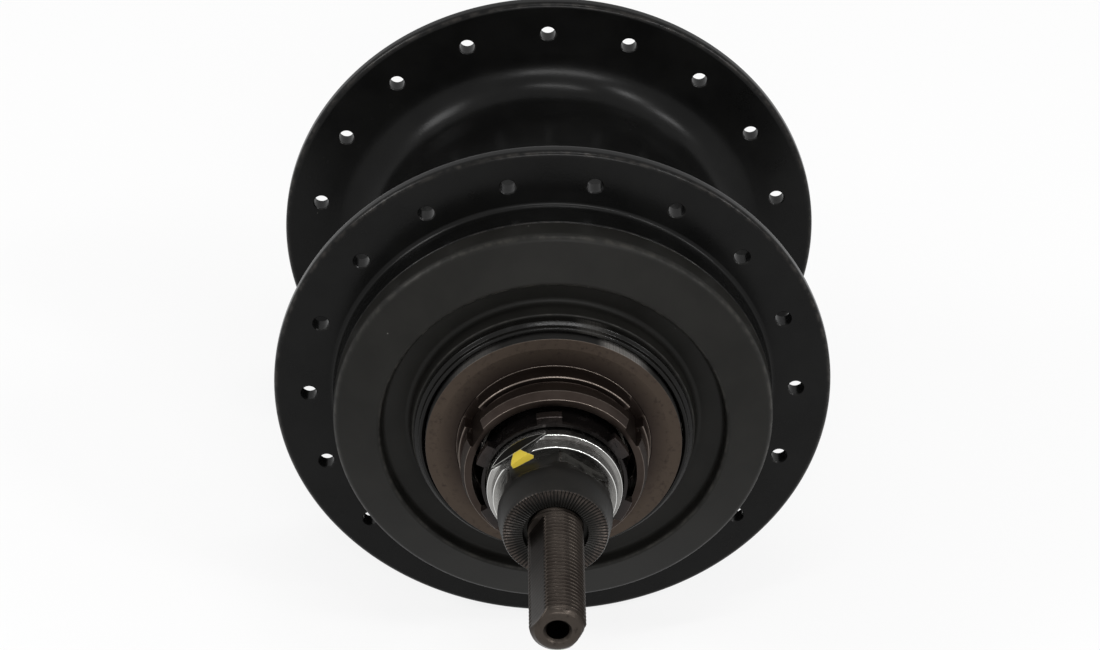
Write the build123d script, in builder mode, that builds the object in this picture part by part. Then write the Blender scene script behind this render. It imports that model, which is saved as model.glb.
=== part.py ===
from build123d import *
from math import acos, cos, pi, radians, sin, sqrt, tan
import os

# Internal gear hub for a bicycle rear wheel, in millimetres.
# The axle lies along Y with the sprocket end at -Y, and Z is up.
# The origin is on the axle, midway between the outer faces of the two locknuts.
# A station is a distance along the axle from the plane midway between the spoke
# flanges, positive towards the sprocket. Outlines are (station, radius) points.

# Fits
press_gap = 0.02
seat_gap = 0.05
run_gap = 0.06
ball_play = 0.03
end_float = 0.5

# Spoke flanges
flange_height = 11.2
flange_spacing = 54.0
flange_thickness = 3.1
flange_edge = 1.1
spoke_edge = 6.5
spokes_per_flange = 18
spoke_hole = 2.9
first_spoke = 90.5

# Shell between and beside the flanges
barrel_wall = 2.5
barrel_fillet = 7.5
drum_diameter = 80.6
drum_width = 5.45
drum_foot = 1.0
drum_wall = 3.0
left_foot_height = 3.0
left_foot_fillet = 3.0
left_end_diameter = 52.0
left_end_length = 7.5
left_wall = 4.5
left_end_edge = 1.0
shell_step = 2.3

# Right cover
cover_spigot_length = 4.5
cover_shoulder = 1.7
cover_seam = 0.35
cover_height = 8.0
cover_shoulder_drop = 3.4
groove_width = 5.5
groove_outer_depth = 2.8
groove_inner_depth = 3.9
lip_step = 1.15
lip_wall = 1.2
lip_taper = 0.3
groove_edge = 0.7

# Right seal
seal_wall = 1.33
seal_back = 1.6
seal_stand = 2.7
seal_bead = 0.5

# Driver, the tube that carries the sprocket
sprocket_seat = 34.6
sprocket_seat_width = 3.0
circlip_depth = 1.1
circlip_width = 1.2
driver_lip_relief = 0.4
driver_lip_width = 4.4
driver_lip_chamfer = 0.7
driver_wall = 2.5
driver_cup_step = 0.085
notch_count = 3
notch_width = 4.6
notch_depth = 1.6
notch_turn = 30.0
driver_sleeve_room = 3.0
driver_flange_width = 2.5
key_count = 6
key_width = 3.0
key_height = 1.2

# Driver dust cap
cap_land_height = 0.4
cap_width = 6.0
cap_gap = 0.25
cap_thickness = 2.9
cap_stand = 4.4
cap_bevel_width = 2.0
cap_bevel_drop = 0.9

# Ball bearings
small_ball = 4.0
left_ball = 4.8
driver_ball_count = 12
shell_ball_count = 20
left_ball_count = 10
race_half_width = 1.1
cage_rim_gap = 0.35
cage_thickness = 0.5
shell_cup_depth = 6.3
driver_cup_floor = 11.0

# Axle and its fixings
axle_body = 12.0
axle_thread = 9.9
axle_length_outside = 28.0
axle_flats = 8.0
axle_flat_turn = 147.0
axle_chamfer = 1.2
centre_hole = 4.0
centre_hole_depth = 8.0
centre_chamfer = 0.5
cone_stand = 2.0
align_ring_inset = 0.15
align_ring_base = 3.0
align_ring_step = 1.5
align_ring_height = 5.0
align_flat_depth = 1.7
align_flat_turn = 128.3
align_flat_rim = 2.3
align_edge = 0.3
right_nut_across_flats = 18.0
right_nut_height = 11.0
nut_hex_height = 4.5
nut_hex_chamfer = 1.0
nut_base_chamfer = 0.3
nut_collar_diameter = 19.2
nut_face_diameter = 18.8
nut_turn = 24.6
nut_mouth = 11.6
nut_mouth_depth = 1.2
left_nut_across_flats = 17.0
left_nut_height = 5.0
left_washer_diameter = 19.0
left_washer_thickness = 2.0

# Shift ring
shift_ring_wall = 0.7
shift_ring_stand = 3.0
shift_ring_depth = 4.0
tab_count = 6
tab_height = 1.5
tab_angle = 19.0
tab_thickness = 1.8
tab_turn = 34.0

# Gear train
ring_pitch_diameter = 54.0
pressure = radians(20)
backlash = 0.2
addendum_modules = 1.0
dedendum_modules = 1.25
ring_addendum_modules = 0.9
sun_teeth = 15
planet_teeth = 15
ring_teeth = 45
small_planet_teeth = 12
free_sun_teeth = 18
planet_count = 3
wide_face = 10.0
narrow_face = 11.0
pin_diameter = 5.0
plate_thickness = 3.0
plate_edge = 2.5
pin_land = 3.0
pillar_diameter = 7.0
train_station = 18.0
ring_wall = 1.9
ring_clearance = 0.6
skirt_relief = 0.3
web_thickness = 3.0
ring_hub = 28.0

# Roller clutch
roller_diameter = 4.0
roller_length = 5.6
roller_count = 8
clutch_width = 8.0
race_thickness = 2.0
cage_room = 0.3

# Brake boss, the left-hand ball cup
boss_diameter = 41.2
boss_spline_depth = 1.0
boss_spline_count = 24
boss_flange_height = 1.4
boss_flange_width = 2.0
boss_length = 12.0
boss_press_diameter = 38.0
boss_bore = 30.0
boss_floor = 2.0
boss_floor_gap = 0.5
left_cup_depth = 7.2
left_cap_thickness = 1.2
left_cap_inset = 0.3
left_cone_bore_room = 1.5
cone_key_flats = 15.0
cone_key_diameter = 18.0
cone_key_length = 4.0
cone_key_stand = 0.95

# Stations worked out from the sizes above, from the flanges outwards
flange_station = flange_spacing / 2
flange_inner = flange_station - flange_thickness / 2
flange_outer = flange_station + flange_thickness / 2
seam = flange_outer + drum_width
cover_face = seam + cover_height
cap_front = cover_face + cap_stand
groove_start = cap_front + sprocket_seat_width
groove_end = groove_start + circlip_width
driver_front = groove_end + driver_lip_width
cone_front = driver_front + cone_stand
align_front = cone_front + align_ring_height
right_face = align_front + right_nut_height
left_shell_end = -flange_outer - left_end_length
boss_flange_end = left_shell_end - boss_flange_width
boss_end = boss_flange_end - boss_length
left_washer_inner = boss_end - cone_key_stand - cone_key_length
left_nut_inner = left_washer_inner - left_washer_thickness
left_face = left_nut_inner - left_nut_height
over_locknuts = right_face - left_face
flange_plane_y = right_face - over_locknuts / 2


# Radii and diameters that follow from what fits in what, from the gear train outwards
module = ring_pitch_diameter / ring_teeth
addendum = addendum_modules * module
dedendum = dedendum_modules * module
orbit = module * (sun_teeth + planet_teeth) / 2
ring_pitch = ring_pitch_diameter / 2
ring_root = ring_pitch + dedendum
ring_tip = ring_pitch - ring_addendum_modules * module
ring_outer = ring_root + ring_wall
barrel_bore = 2 * (ring_outer + ring_clearance)
barrel_diameter = barrel_bore + 2 * barrel_wall
left_foot_diameter = barrel_diameter + 2 * left_foot_height
flange_diameter = drum_diameter + 2 * flange_height
spoke_circle = flange_diameter - 2 * spoke_edge
cover_spigot = drum_diameter - 2 * drum_wall
cap_land = sprocket_seat + 2 * cap_land_height
cap_diameter = sprocket_seat + 2 * cap_width
seal_bore = cap_diameter + 2 * cap_gap
seal_seat = seal_bore / 2 + seal_wall
lip_bore = 2 * (seal_seat + press_gap)
shell_cup_diameter = lip_bore + 2 * lip_step
groove_inner = lip_bore + 2 * lip_wall
groove_outer = groove_inner + 2 * groove_width
pin_radius = pin_diameter / 2
plate_diameter = 2 * (orbit + pin_radius + plate_edge)
driver_sleeve = 2 * (orbit - pin_radius - pin_land)
driver_sleeve_bore = axle_body + 2 * driver_sleeve_room
circlip_groove = sprocket_seat - 2 * circlip_depth
driver_lip = sprocket_seat - 2 * driver_lip_relief
driver_front_diameter = driver_lip - 2 * driver_lip_chamfer
driver_bore = sprocket_seat - 2 * driver_wall
boss_flange = boss_diameter + 2 * boss_flange_height

half_plane = Plane((0, flange_plane_y, 0), x_dir=(0, -1, 0), z_dir=(-1, 0, 0))


def across(station):
    """The plane square to the axle at a station, seen from the sprocket side."""
    return Plane((0, flange_plane_y - station, 0), x_dir=(1, 0, 0), z_dir=(0, -1, 0))


def turn(*outline, mode=Mode.ADD):
    """Turns an outline of (station, radius) points about the axle. A point's third value is
    the radius that rounds its corner."""
    with BuildSketch(half_plane) as section:
        with BuildLine():
            Polyline(*[point[:2] for point in outline], close=True)
        make_face()
        for station, radius, rounding in [point for point in outline if len(point) == 3]:
            fillet(section.vertices().sort_by_distance((station, radius, 0))[0], rounding)
    revolve(section.sketch, axis=Axis.Y, mode=mode)


def bore(radius, start, end):
    """A round hole along the axle from one station to the other."""
    turn((start, 0), (end, 0), (end, radius), (start, radius), mode=Mode.SUBTRACT)


def rings(part, radius, *stations):
    """The circular edges of one radius that lie at the given stations."""
    found = []
    for edge in part.edges().filter_by(GeomType.CIRCLE):
        station = flange_plane_y - edge.arc_center.Y
        if abs(edge.radius - radius) < 0.01 and any(abs(station - s) < 0.01 for s in stations):
            found.append(edge)
    return found


# How balls sit between a cup and a 45 degree cone. The cup is a bore that ends in a
# square floor, on the positive side of the balls where side is 1.
def ball_seat(cup_radius, floor_station, ball, side):
    """Returns the ring of ball centres and the middle of the cone, as station and radius."""
    reach = ball / 2 + ball_play
    ring = (floor_station - side * reach, cup_radius - reach)
    cone = (ring[0] - side * reach / sqrt(2), ring[1] - reach / sqrt(2))
    return ring, cone


def cone_points(cone, side):
    """The small and the large end of a cone's race."""
    small = (cone[0] + side * race_half_width, cone[1] - race_half_width)
    large = (cone[0] - side * race_half_width, cone[1] + race_half_width)
    return small, large


def ball_set(ring, ball, count):
    """A ring of balls, each cut with 26 flats whose corners lie on the ball's surface."""
    facet = ball / sqrt(5 + 2 * sqrt(2))
    with BuildPart(across(ring[0])) as balls:
        with PolarLocations(ring[1], count):
            Box(facet * (1 + sqrt(2)), facet * (1 + sqrt(2)), facet * (1 + sqrt(2)))
        chamfer(balls.edges(), facet / sqrt(2))
    return balls


def ball_cage(ring, ball, count, side):
    """A crown retainer: a thin ring with a pocket for each ball, open towards the cup's floor."""
    open_end = ring[0] + side * (ball / 2 - cage_thickness / 4)
    rim_end = ring[0] - side * (ball / sqrt(2) - cage_rim_gap)
    inner = ring[1] - cage_thickness / 2
    outer = ring[1] + cage_thickness / 2
    with BuildPart() as cage:
        turn((open_end, inner), (open_end, outer), (rim_end, outer), (rim_end, inner))
        with Locations(across(ring[0])):
            with PolarLocations(ring[1], count):
                Cylinder(ball / 2 + run_gap, 2 * cage_thickness, rotation=(0, 90, 0), mode=Mode.SUBTRACT)
    return cage


shell_cup_radius = shell_cup_diameter / 2
shell_cup_top = cover_face - shell_cup_depth
shell_ring, shell_cone = ball_seat(shell_cup_radius, shell_cup_top, small_ball, 1)
shell_cone_small, shell_cone_large = cone_points(shell_cone, 1)

driver_cup_radius = driver_bore / 2 - driver_cup_step
driver_cup_station = driver_front - driver_cup_floor
driver_ring, driver_cone = ball_seat(driver_cup_radius, driver_cup_station, small_ball, -1)
driver_cone_small, driver_cone_large = cone_points(driver_cone, -1)
cone_body = 2 * driver_cone_large[1]
align_ring_diameter = cone_body - 2 * align_ring_inset
align_ring_top = align_ring_diameter / 2 - align_ring_step
align_flat = align_ring_diameter / 2 - align_flat_depth

left_cup_station = boss_end + left_cup_depth
left_ring, left_cone_middle = ball_seat(boss_bore / 2, left_cup_station, left_ball, 1)
left_cone_small, left_cone_large = cone_points(left_cone_middle, 1)

# Hub shell: one casting with the barrel, both spoke flanges, the drum and the left end
flange_radius = flange_diameter / 2
barrel_radius = barrel_diameter / 2
drum_radius = drum_diameter / 2
spigot_end = seam - cover_spigot_length
with BuildPart() as hub_shell:
    turn(
        (left_shell_end, boss_press_diameter / 2),
        (left_shell_end, left_end_diameter / 2, left_end_edge),
        (-flange_outer, left_foot_diameter / 2, left_foot_fillet),
        (-flange_outer, flange_radius, flange_edge),
        (-flange_inner, flange_radius, flange_edge),
        (-flange_inner, barrel_radius, barrel_fillet),
        (flange_inner, barrel_radius, barrel_fillet),
        (flange_inner, flange_radius, flange_edge),
        (flange_outer, flange_radius, flange_edge),
        (flange_outer, drum_radius + drum_foot),
        (flange_outer + drum_foot, drum_radius),
        (seam, drum_radius),
        (seam, cover_spigot / 2),
        (spigot_end, cover_spigot / 2),
        (spigot_end, cover_spigot / 2 - shell_step),
        (flange_inner, barrel_bore / 2),
        (-flange_inner, barrel_bore / 2),
        (left_shell_end + left_wall, boss_press_diameter / 2 + left_wall),
        (left_shell_end + left_wall, boss_press_diameter / 2),
    )
    half_pitch = 180 / spokes_per_flange
    for flange_face, first_hole in ((-flange_inner, first_spoke), (flange_outer, first_spoke + half_pitch)):
        with Locations(across(flange_face)):
            with PolarLocations(spoke_circle / 2, spokes_per_flange, start_angle=first_hole):
                Hole(spoke_hole / 2, depth=flange_thickness)

# Right cover: domed ring screwed into the drum, with the outer ball cup inside it
with BuildPart() as right_cover:
    turn(
        (spigot_end + end_float, shell_cup_radius),
        (shell_cup_top, shell_cup_radius),
        (shell_cup_top, lip_bore / 2),
        (cover_face, lip_bore / 2),
        (cover_face, groove_inner / 2 - lip_taper),
        (cover_face - groove_inner_depth, groove_inner / 2),
        (cover_face - groove_outer_depth, groove_outer / 2 - lip_taper),
        (cover_face, groove_outer / 2),
        (cover_face - cover_shoulder_drop, drum_radius, cover_shoulder),
        (seam, drum_radius),
        (seam, cover_spigot / 2 - press_gap),
        (spigot_end + end_float, cover_spigot / 2 - press_gap),
    )
    chamfer(rings(right_cover, groove_outer / 2, cover_face), groove_edge)
    chamfer(rings(right_cover, drum_radius, seam), cover_seam)

# Right seal: glossy ring in the lip, with a bead that overhangs it
with BuildPart() as right_seal:
    turn(
        (cover_face - seal_back, seal_bore / 2),
        (cover_face - seal_back, seal_seat),
        (cover_face, seal_seat),
        (cover_face + seal_bead / 2, seal_seat + seal_bead),
        (cover_face + seal_stand - 2 * seal_bead, seal_seat + seal_bead),
        (cover_face + seal_stand, seal_seat - seal_bead),
        (cover_face + seal_stand, seal_bore / 2 + seal_bead),
        (cover_face + seal_stand - seal_bead, seal_bore / 2),
    )

# Driver: turned steel tube with the sprocket seat outside and a ball cup inside
seat_radius = sprocket_seat / 2
cap_back = cap_front - cap_thickness
driver_flange_end = shell_cone_large[0] - driver_flange_width
plate_end = train_station + plate_thickness
with BuildPart() as driver:
    turn(
        (driver_front, driver_bore / 2),
        (driver_front, driver_front_diameter / 2),
        (driver_front - driver_lip_chamfer, driver_lip / 2),
        (groove_end, driver_lip / 2),
        (groove_end, circlip_groove / 2),
        (groove_start, circlip_groove / 2),
        (groove_start, seat_radius),
        (cap_front, seat_radius),
        (cap_front, cap_land / 2),
        (cap_back, cap_land / 2),
        (cap_back, shell_cone_small[1]),
        shell_cone_small,
        shell_cone_large,
        (driver_flange_end, shell_cone_large[1]),
        (driver_flange_end, driver_sleeve / 2),
        (train_station, driver_sleeve / 2),
        (train_station, driver_sleeve_bore / 2),
        (driver_cup_station, driver_sleeve_bore / 2),
        (driver_cup_station, driver_cup_radius),
        (driver_cone_large[0], driver_cup_radius),
        (driver_cone_large[0], driver_bore / 2),
    )
    with BuildSketch(across(cap_front)):
        with PolarLocations(seat_radius, notch_count, start_angle=notch_turn):
            Rectangle(2 * notch_depth, notch_width)
    extrude(amount=driver_front - cap_front, mode=Mode.SUBTRACT)
    with BuildSketch(across(train_station)):
        with PolarLocations(driver_sleeve / 2, key_count):
            Rectangle(2 * key_height, key_width)
    extrude(amount=plate_thickness)

# Driver dust cap: pressed steel disc on the land beside the seat, against the driver's shoulder
with BuildPart() as driver_dust_cap:
    turn(
        (cap_back, cap_land / 2 + press_gap),
        (cap_back, cap_diameter / 2),
        (cap_front - cap_bevel_drop, cap_diameter / 2),
        (cap_front, cap_diameter / 2 - cap_bevel_width),
        (cap_front, cap_land / 2 + press_gap),
    )

# Axle: thicker where the gears run, threaded at both ends, with two flats for the frame
thread_radius = axle_thread / 2
right_shoulder = driver_cup_station + end_float
left_shoulder = left_cup_station + left_cone_bore_room
right_end = right_face + axle_length_outside
left_end = left_face - axle_length_outside
with BuildPart() as axle:
    turn(
        (left_end, 0),
        (left_end, thread_radius),
        (left_shoulder, thread_radius),
        (left_shoulder, axle_body / 2),
        (right_shoulder, axle_body / 2),
        (right_shoulder, thread_radius),
        (right_end, thread_radius),
        (right_end, 0),
    )
    chamfer(rings(axle, thread_radius, left_end, right_end), axle_chamfer)
    for end, inwards in ((right_end, -1), (left_end, 1)):
        with BuildSketch(across(end)):
            with Locations(Location((0, 0, 0), (0, 0, axle_flat_turn))):
                Rectangle(2 * axle_thread, 2 * axle_thread)
                Rectangle(axle_flats, 2 * axle_thread, mode=Mode.SUBTRACT)
        extrude(amount=inwards * axle_length_outside, mode=Mode.SUBTRACT)
        turn(
            (end, 0),
            (end, centre_hole / 2 + centre_chamfer),
            (end + inwards * centre_chamfer, centre_hole / 2),
            (end + inwards * centre_hole_depth, centre_hole / 2),
            (end + inwards * (centre_hole_depth + centre_hole / 4), 0),
            mode=Mode.SUBTRACT,
        )

# Right cone: screwed on the axle against its shoulder, carries the driver's balls
cone_bore = thread_radius + seat_gap
with BuildPart() as right_cone:
    turn(
        (right_shoulder, cone_bore),
        (right_shoulder, driver_cone_small[1]),
        driver_cone_small,
        driver_cone_large,
        (cone_front, cone_body / 2),
        (cone_front, cone_bore),
    )

# Alignment ring: plated stop ring with a flat, clamped between the cone and the locknut
with BuildPart() as alignment_ring:
    turn(
        (cone_front, cone_bore),
        (cone_front, align_ring_diameter / 2),
        (cone_front + align_ring_base, align_ring_diameter / 2),
        (cone_front + align_ring_base, align_ring_top),
        (align_front, align_ring_top),
        (align_front, cone_bore),
    )
    chamfer(rings(alignment_ring, align_ring_diameter / 2, cone_front + align_ring_base), align_edge)
    chamfer(rings(alignment_ring, align_ring_top, align_front), align_edge)
    with BuildSketch(across(cone_front + align_flat_rim)):
        with Locations(Location((0, 0, 0), (0, 0, align_flat_turn))):
            with Locations((align_flat + align_ring_diameter / 4, 0)):
                Rectangle(align_ring_diameter / 2, align_ring_diameter)
    extrude(amount=align_ring_height, mode=Mode.SUBTRACT)

# Right locknut: hexagon with a round collar whose face bites on the frame
hex_radius = right_nut_across_flats / 2 / cos(pi / 6)
hex_end = align_front + nut_hex_height
with BuildPart() as right_locknut:
    with BuildSketch(across(align_front)):
        RegularPolygon(hex_radius, 6, rotation=nut_turn)
    extrude(amount=hex_end - align_front)
    turn(
        (align_front, 0),
        (align_front, hex_radius - nut_base_chamfer),
        (align_front + nut_base_chamfer, hex_radius),
        (hex_end - nut_hex_chamfer, hex_radius),
        (hex_end, hex_radius - nut_hex_chamfer),
        (hex_end, 0),
        mode=Mode.INTERSECT,
    )
    turn(
        (hex_end - nut_hex_chamfer, 0),
        (hex_end - nut_hex_chamfer, nut_collar_diameter / 2),
        (right_face, nut_face_diameter / 2),
        (right_face, 0),
    )
    bore(cone_bore, align_front, right_face)
    bore(nut_mouth / 2, right_face - nut_mouth_depth, right_face)

# Shift ring: sleeve round the cone with six tabs that the shifter unit turns
shift_bore = cone_body / 2 + run_gap
shift_outer = shift_bore + shift_ring_wall
shift_front = driver_front + shift_ring_stand
tab_reach = shift_outer + tab_height
with BuildPart() as shift_ring:
    with BuildSketch(across(shift_front)):
        Circle(tab_reach)
        with PolarLocations(0, tab_count, start_angle=tab_turn + 180 / tab_count):
            Polygon(
                (0, 0),
                (tab_reach * 2, -tab_reach * 2 * tan(radians((360 / tab_count - tab_angle) / 2))),
                (tab_reach * 2, tab_reach * 2 * tan(radians((360 / tab_count - tab_angle) / 2))),
                align=None,
                mode=Mode.SUBTRACT,
            )
        Circle(shift_outer)
        Circle(shift_bore, mode=Mode.SUBTRACT)
    extrude(amount=-tab_thickness)
    turn(
        (shift_front - tab_thickness, shift_bore),
        (shift_front - tab_thickness, shift_outer),
        (driver_front - shift_ring_depth, shift_outer),
        (driver_front - shift_ring_depth, shift_bore),
    )


# Gear teeth. The flanks are involutes of a 20 degree rack, drawn through three points:
# on the root circle, the pitch circle and the tip circle.
def involute(angle):
    return tan(angle) - angle


def gear_points(teeth, root, tip, first_tooth=0.0, inward=False):
    """Corners of a gear outline. With inward it is the outline of a ring gear's opening."""
    pitch = module * teeth / 2
    base = pitch * cos(pressure)
    pitch_half = (pi * module / 2 - backlash / 2) / (2 * pitch)
    points = []
    for tooth in range(teeth):
        middle = first_tooth + 2 * pi * tooth / teeth
        for side in (-1, 1):
            for radius in (root, pitch, tip)[::-side]:
                bend = involute(pressure) - involute(acos(min(1.0, base / radius)))
                half = pitch_half - bend if inward else pitch_half + bend
                angle = middle + side * half
                points.append((radius * cos(angle), radius * sin(angle)))
    return points


def outward_gear(teeth, start, end, first_tooth=0.0):
    """A spur gear from one station to the other, inside the open BuildPart."""
    pitch = module * teeth / 2
    with BuildSketch(across(start)) as outline:
        Polygon(*gear_points(teeth, pitch - dedendum, pitch + addendum, first_tooth), align=None)
    extrude(outline.sketch, amount=end - start)


wide_end = train_station - end_float
wide_start = wide_end - wide_face
narrow_start = wide_start - narrow_face
left_plate_end = narrow_start - end_float
left_plate_start = left_plate_end - plate_thickness

# Fixed sun gear: keyed to the axle, in mesh with the wide part of the planets
with BuildPart() as fixed_sun_gear:
    outward_gear(sun_teeth, wide_start + end_float, wide_end)
    bore(axle_body / 2 + press_gap, wide_start, wide_end)

# Free sun gear: turns on the axle, in mesh with the narrow part of the planets
with BuildPart() as free_sun_gear:
    outward_gear(free_sun_teeth, narrow_start, wide_start - end_float, pi / free_sun_teeth)
    bore(axle_body / 2 + run_gap, narrow_start, wide_start)

# Stepped planet gear: a wide and a narrow gear in one piece, on its own pin. The three
# stand at even angles round the axle, the first at +X, all with the same teeth upwards.
with BuildPart() as planet:
    outward_gear(planet_teeth, wide_start, wide_end)
    outward_gear(small_planet_teeth, narrow_start, wide_start)
    bore(pin_radius + run_gap, narrow_start, wide_end)
planet_gears = {}
for number in range(planet_count):
    angle = 2 * pi * number / planet_count
    place = Location((orbit * cos(angle), 0, orbit * sin(angle)))
    planet_gears[f"planet_gear_{number + 1}"] = planet.part.moved(place)

# Planet pins: hardened pins pressed into both carrier plates
with BuildPart() as planet_pins:
    with BuildSketch(across(left_plate_start)):
        with PolarLocations(orbit, planet_count):
            Circle(pin_radius)
    extrude(amount=plate_end - left_plate_start)

# Carrier left plate: bears on the axle, with three pillars between the planets
with BuildPart() as carrier_left_plate:
    with BuildSketch(across(left_plate_start)):
        Circle(plate_diameter / 2)
        Circle(axle_body / 2 + run_gap, mode=Mode.SUBTRACT)
        with PolarLocations(orbit, planet_count):
            Circle(pin_radius + press_gap, mode=Mode.SUBTRACT)
    extrude(amount=plate_thickness)
    with BuildSketch(across(left_plate_end)):
        with PolarLocations(orbit, planet_count, start_angle=180 / planet_count):
            Circle(pillar_diameter / 2)
    extrude(amount=train_station - left_plate_end)

# Carrier right plate: keyed on the end of the driver's sleeve
with BuildPart() as carrier_right_plate:
    with BuildSketch(across(train_station)):
        Circle(plate_diameter / 2)
        Circle(driver_sleeve / 2 + press_gap, mode=Mode.SUBTRACT)
        with PolarLocations(driver_sleeve / 2, key_count):
            Rectangle(2 * (key_height + press_gap), key_width + 2 * press_gap, mode=Mode.SUBTRACT)
        with PolarLocations(orbit, planet_count):
            Circle(pin_radius + press_gap, mode=Mode.SUBTRACT)
    extrude(amount=plate_thickness)

# Ring gear: bell with teeth inside its rim and a web and hub that run on the axle
skirt_inner = ring_root + skirt_relief
web_end = left_plate_start - end_float
web_start = web_end - web_thickness
ring_hub_start = web_start - clutch_width - 2 * end_float
ring_bore = axle_body / 2 + run_gap
with BuildPart() as ring_gear:
    turn(
        (wide_end, ring_outer),
        (web_start, ring_outer),
        (web_start, ring_hub / 2),
        (ring_hub_start, ring_hub / 2),
        (ring_hub_start, ring_bore),
        (web_end, ring_bore),
        (web_end, skirt_inner),
        (wide_start, skirt_inner),
        (wide_start, ring_tip),
        (wide_end, ring_tip),
    )
    with BuildSketch(across(wide_start)):
        Polygon(
            *gear_points(ring_teeth, ring_root, ring_tip, pi / ring_teeth, inward=True),
            align=None,
        )
    extrude(amount=wide_face, mode=Mode.SUBTRACT)

# Roller clutch: rollers on the flats of an eight-sided cam wedge against a steel race
race_outer = barrel_bore / 2 - press_gap
race_inner = race_outer - race_thickness
roller_radius = roller_diameter / 2
roller_orbit = race_inner - roller_radius - ball_play
cam_flat = roller_orbit - roller_radius - ball_play
clutch_start = web_start - end_float - clutch_width
clutch_end = web_start - end_float
with BuildPart() as clutch_cam:
    with BuildSketch(across(clutch_start)):
        RegularPolygon(cam_flat, roller_count, major_radius=False)
        Circle(ring_hub / 2 + press_gap, mode=Mode.SUBTRACT)
    extrude(amount=clutch_width)

first_roller = 180 / roller_count
clutch_middle = (clutch_start + clutch_end) / 2
with BuildPart() as clutch_rollers:
    with BuildSketch(across(clutch_middle - roller_length / 2)):
        with PolarLocations(roller_orbit, roller_count, start_angle=first_roller):
            Circle(roller_radius)
    extrude(amount=roller_length)

cam_corner = cam_flat / cos(pi / roller_count)
with BuildPart() as roller_cage:
    turn(
        (clutch_start, cam_corner + cage_room),
        (clutch_start, race_inner - cage_room),
        (clutch_end, race_inner - cage_room),
        (clutch_end, cam_corner + cage_room),
    )
    with BuildSketch(across(clutch_middle - roller_length / 2 - run_gap)):
        with PolarLocations(roller_orbit, roller_count, start_angle=first_roller):
            Rectangle(2 * roller_diameter, roller_diameter + 2 * run_gap)
    extrude(amount=roller_length + 2 * run_gap, mode=Mode.SUBTRACT)

with BuildPart() as clutch_race:
    turn(
        (clutch_start, race_inner),
        (clutch_start, race_outer),
        (clutch_end, race_outer),
        (clutch_end, race_inner),
    )

# Brake boss: steel left-hand ball cup pressed in the shell, splined outside for a brake
with BuildPart() as brake_boss:
    turn(
        (left_shell_end + left_wall, boss_bore / 2),
        (left_shell_end + left_wall, boss_press_diameter / 2 - press_gap),
        (left_shell_end, boss_press_diameter / 2 - press_gap),
        (left_shell_end, boss_flange / 2),
        (boss_flange_end, boss_flange / 2),
        (boss_flange_end, boss_diameter / 2),
        (boss_end, boss_diameter / 2),
        (boss_end, boss_bore / 2),
        (left_cup_station, boss_bore / 2),
        (left_cup_station, left_cone_small[1] + boss_floor_gap),
        (left_cup_station + boss_floor, left_cone_small[1] + boss_floor_gap),
        (left_cup_station + boss_floor, boss_bore / 2),
    )
    with BuildSketch(across(boss_end)):
        with PolarLocations(boss_diameter / 2, boss_spline_count):
            Rectangle(2 * boss_spline_depth, pi * boss_diameter / boss_spline_count / 2)
    extrude(amount=boss_length, mode=Mode.SUBTRACT)

# Left cone: screwed on the axle, with two flats for a cone spanner
left_cone_outer = left_cone_large[1]
with BuildPart() as left_cone:
    turn(
        (left_shoulder, cone_bore),
        (left_shoulder, left_cone_small[1]),
        left_cone_small,
        left_cone_large,
        (left_washer_inner + cone_key_length, left_cone_outer),
        (left_washer_inner + cone_key_length, cone_key_diameter / 2),
        (left_washer_inner, cone_key_diameter / 2),
        (left_washer_inner, cone_bore),
    )
    with BuildSketch(across(left_washer_inner)):
        Rectangle(cone_key_diameter, cone_key_diameter)
        Rectangle(cone_key_flats, cone_key_diameter, mode=Mode.SUBTRACT)
    extrude(amount=cone_key_length, mode=Mode.SUBTRACT)

# Left dust cap: pressed ring that closes the boss round the cone
left_cap_start = boss_end + left_cap_inset
with BuildPart() as left_dust_cap:
    turn(
        (left_cap_start, left_cone_outer + end_float),
        (left_cap_start, boss_bore / 2 - press_gap),
        (left_cap_start + left_cap_thickness, boss_bore / 2 - press_gap),
        (left_cap_start + left_cap_thickness, left_cone_outer + end_float),
    )

# Left lock washer and locknut
with BuildPart() as left_lock_washer:
    turn(
        (left_nut_inner, cone_bore),
        (left_nut_inner, left_washer_diameter / 2),
        (left_washer_inner, left_washer_diameter / 2),
        (left_washer_inner, cone_bore),
    )

left_hex_radius = left_nut_across_flats / 2 / cos(pi / 6)
with BuildPart() as left_locknut:
    with BuildSketch(across(left_face)):
        RegularPolygon(left_hex_radius, 6, rotation=nut_turn)
        Circle(cone_bore, mode=Mode.SUBTRACT)
    extrude(amount=left_nut_height)
    turn(
        (left_face, 0),
        (left_face, left_hex_radius - nut_hex_chamfer),
        (left_face + nut_hex_chamfer, left_hex_radius),
        (left_nut_inner, left_hex_radius),
        (left_nut_inner, 0),
        mode=Mode.INTERSECT,
    )

# Ball sets and their retainers
shell_balls = ball_set(shell_ring, small_ball, shell_ball_count)
shell_ball_cage = ball_cage(shell_ring, small_ball, shell_ball_count, 1)
driver_balls = ball_set(driver_ring, small_ball, driver_ball_count)
driver_ball_cage = ball_cage(driver_ring, small_ball, driver_ball_count, -1)
left_balls = ball_set(left_ring, left_ball, left_ball_count)
left_ball_cage = ball_cage(left_ring, left_ball, left_ball_count, 1)

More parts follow.
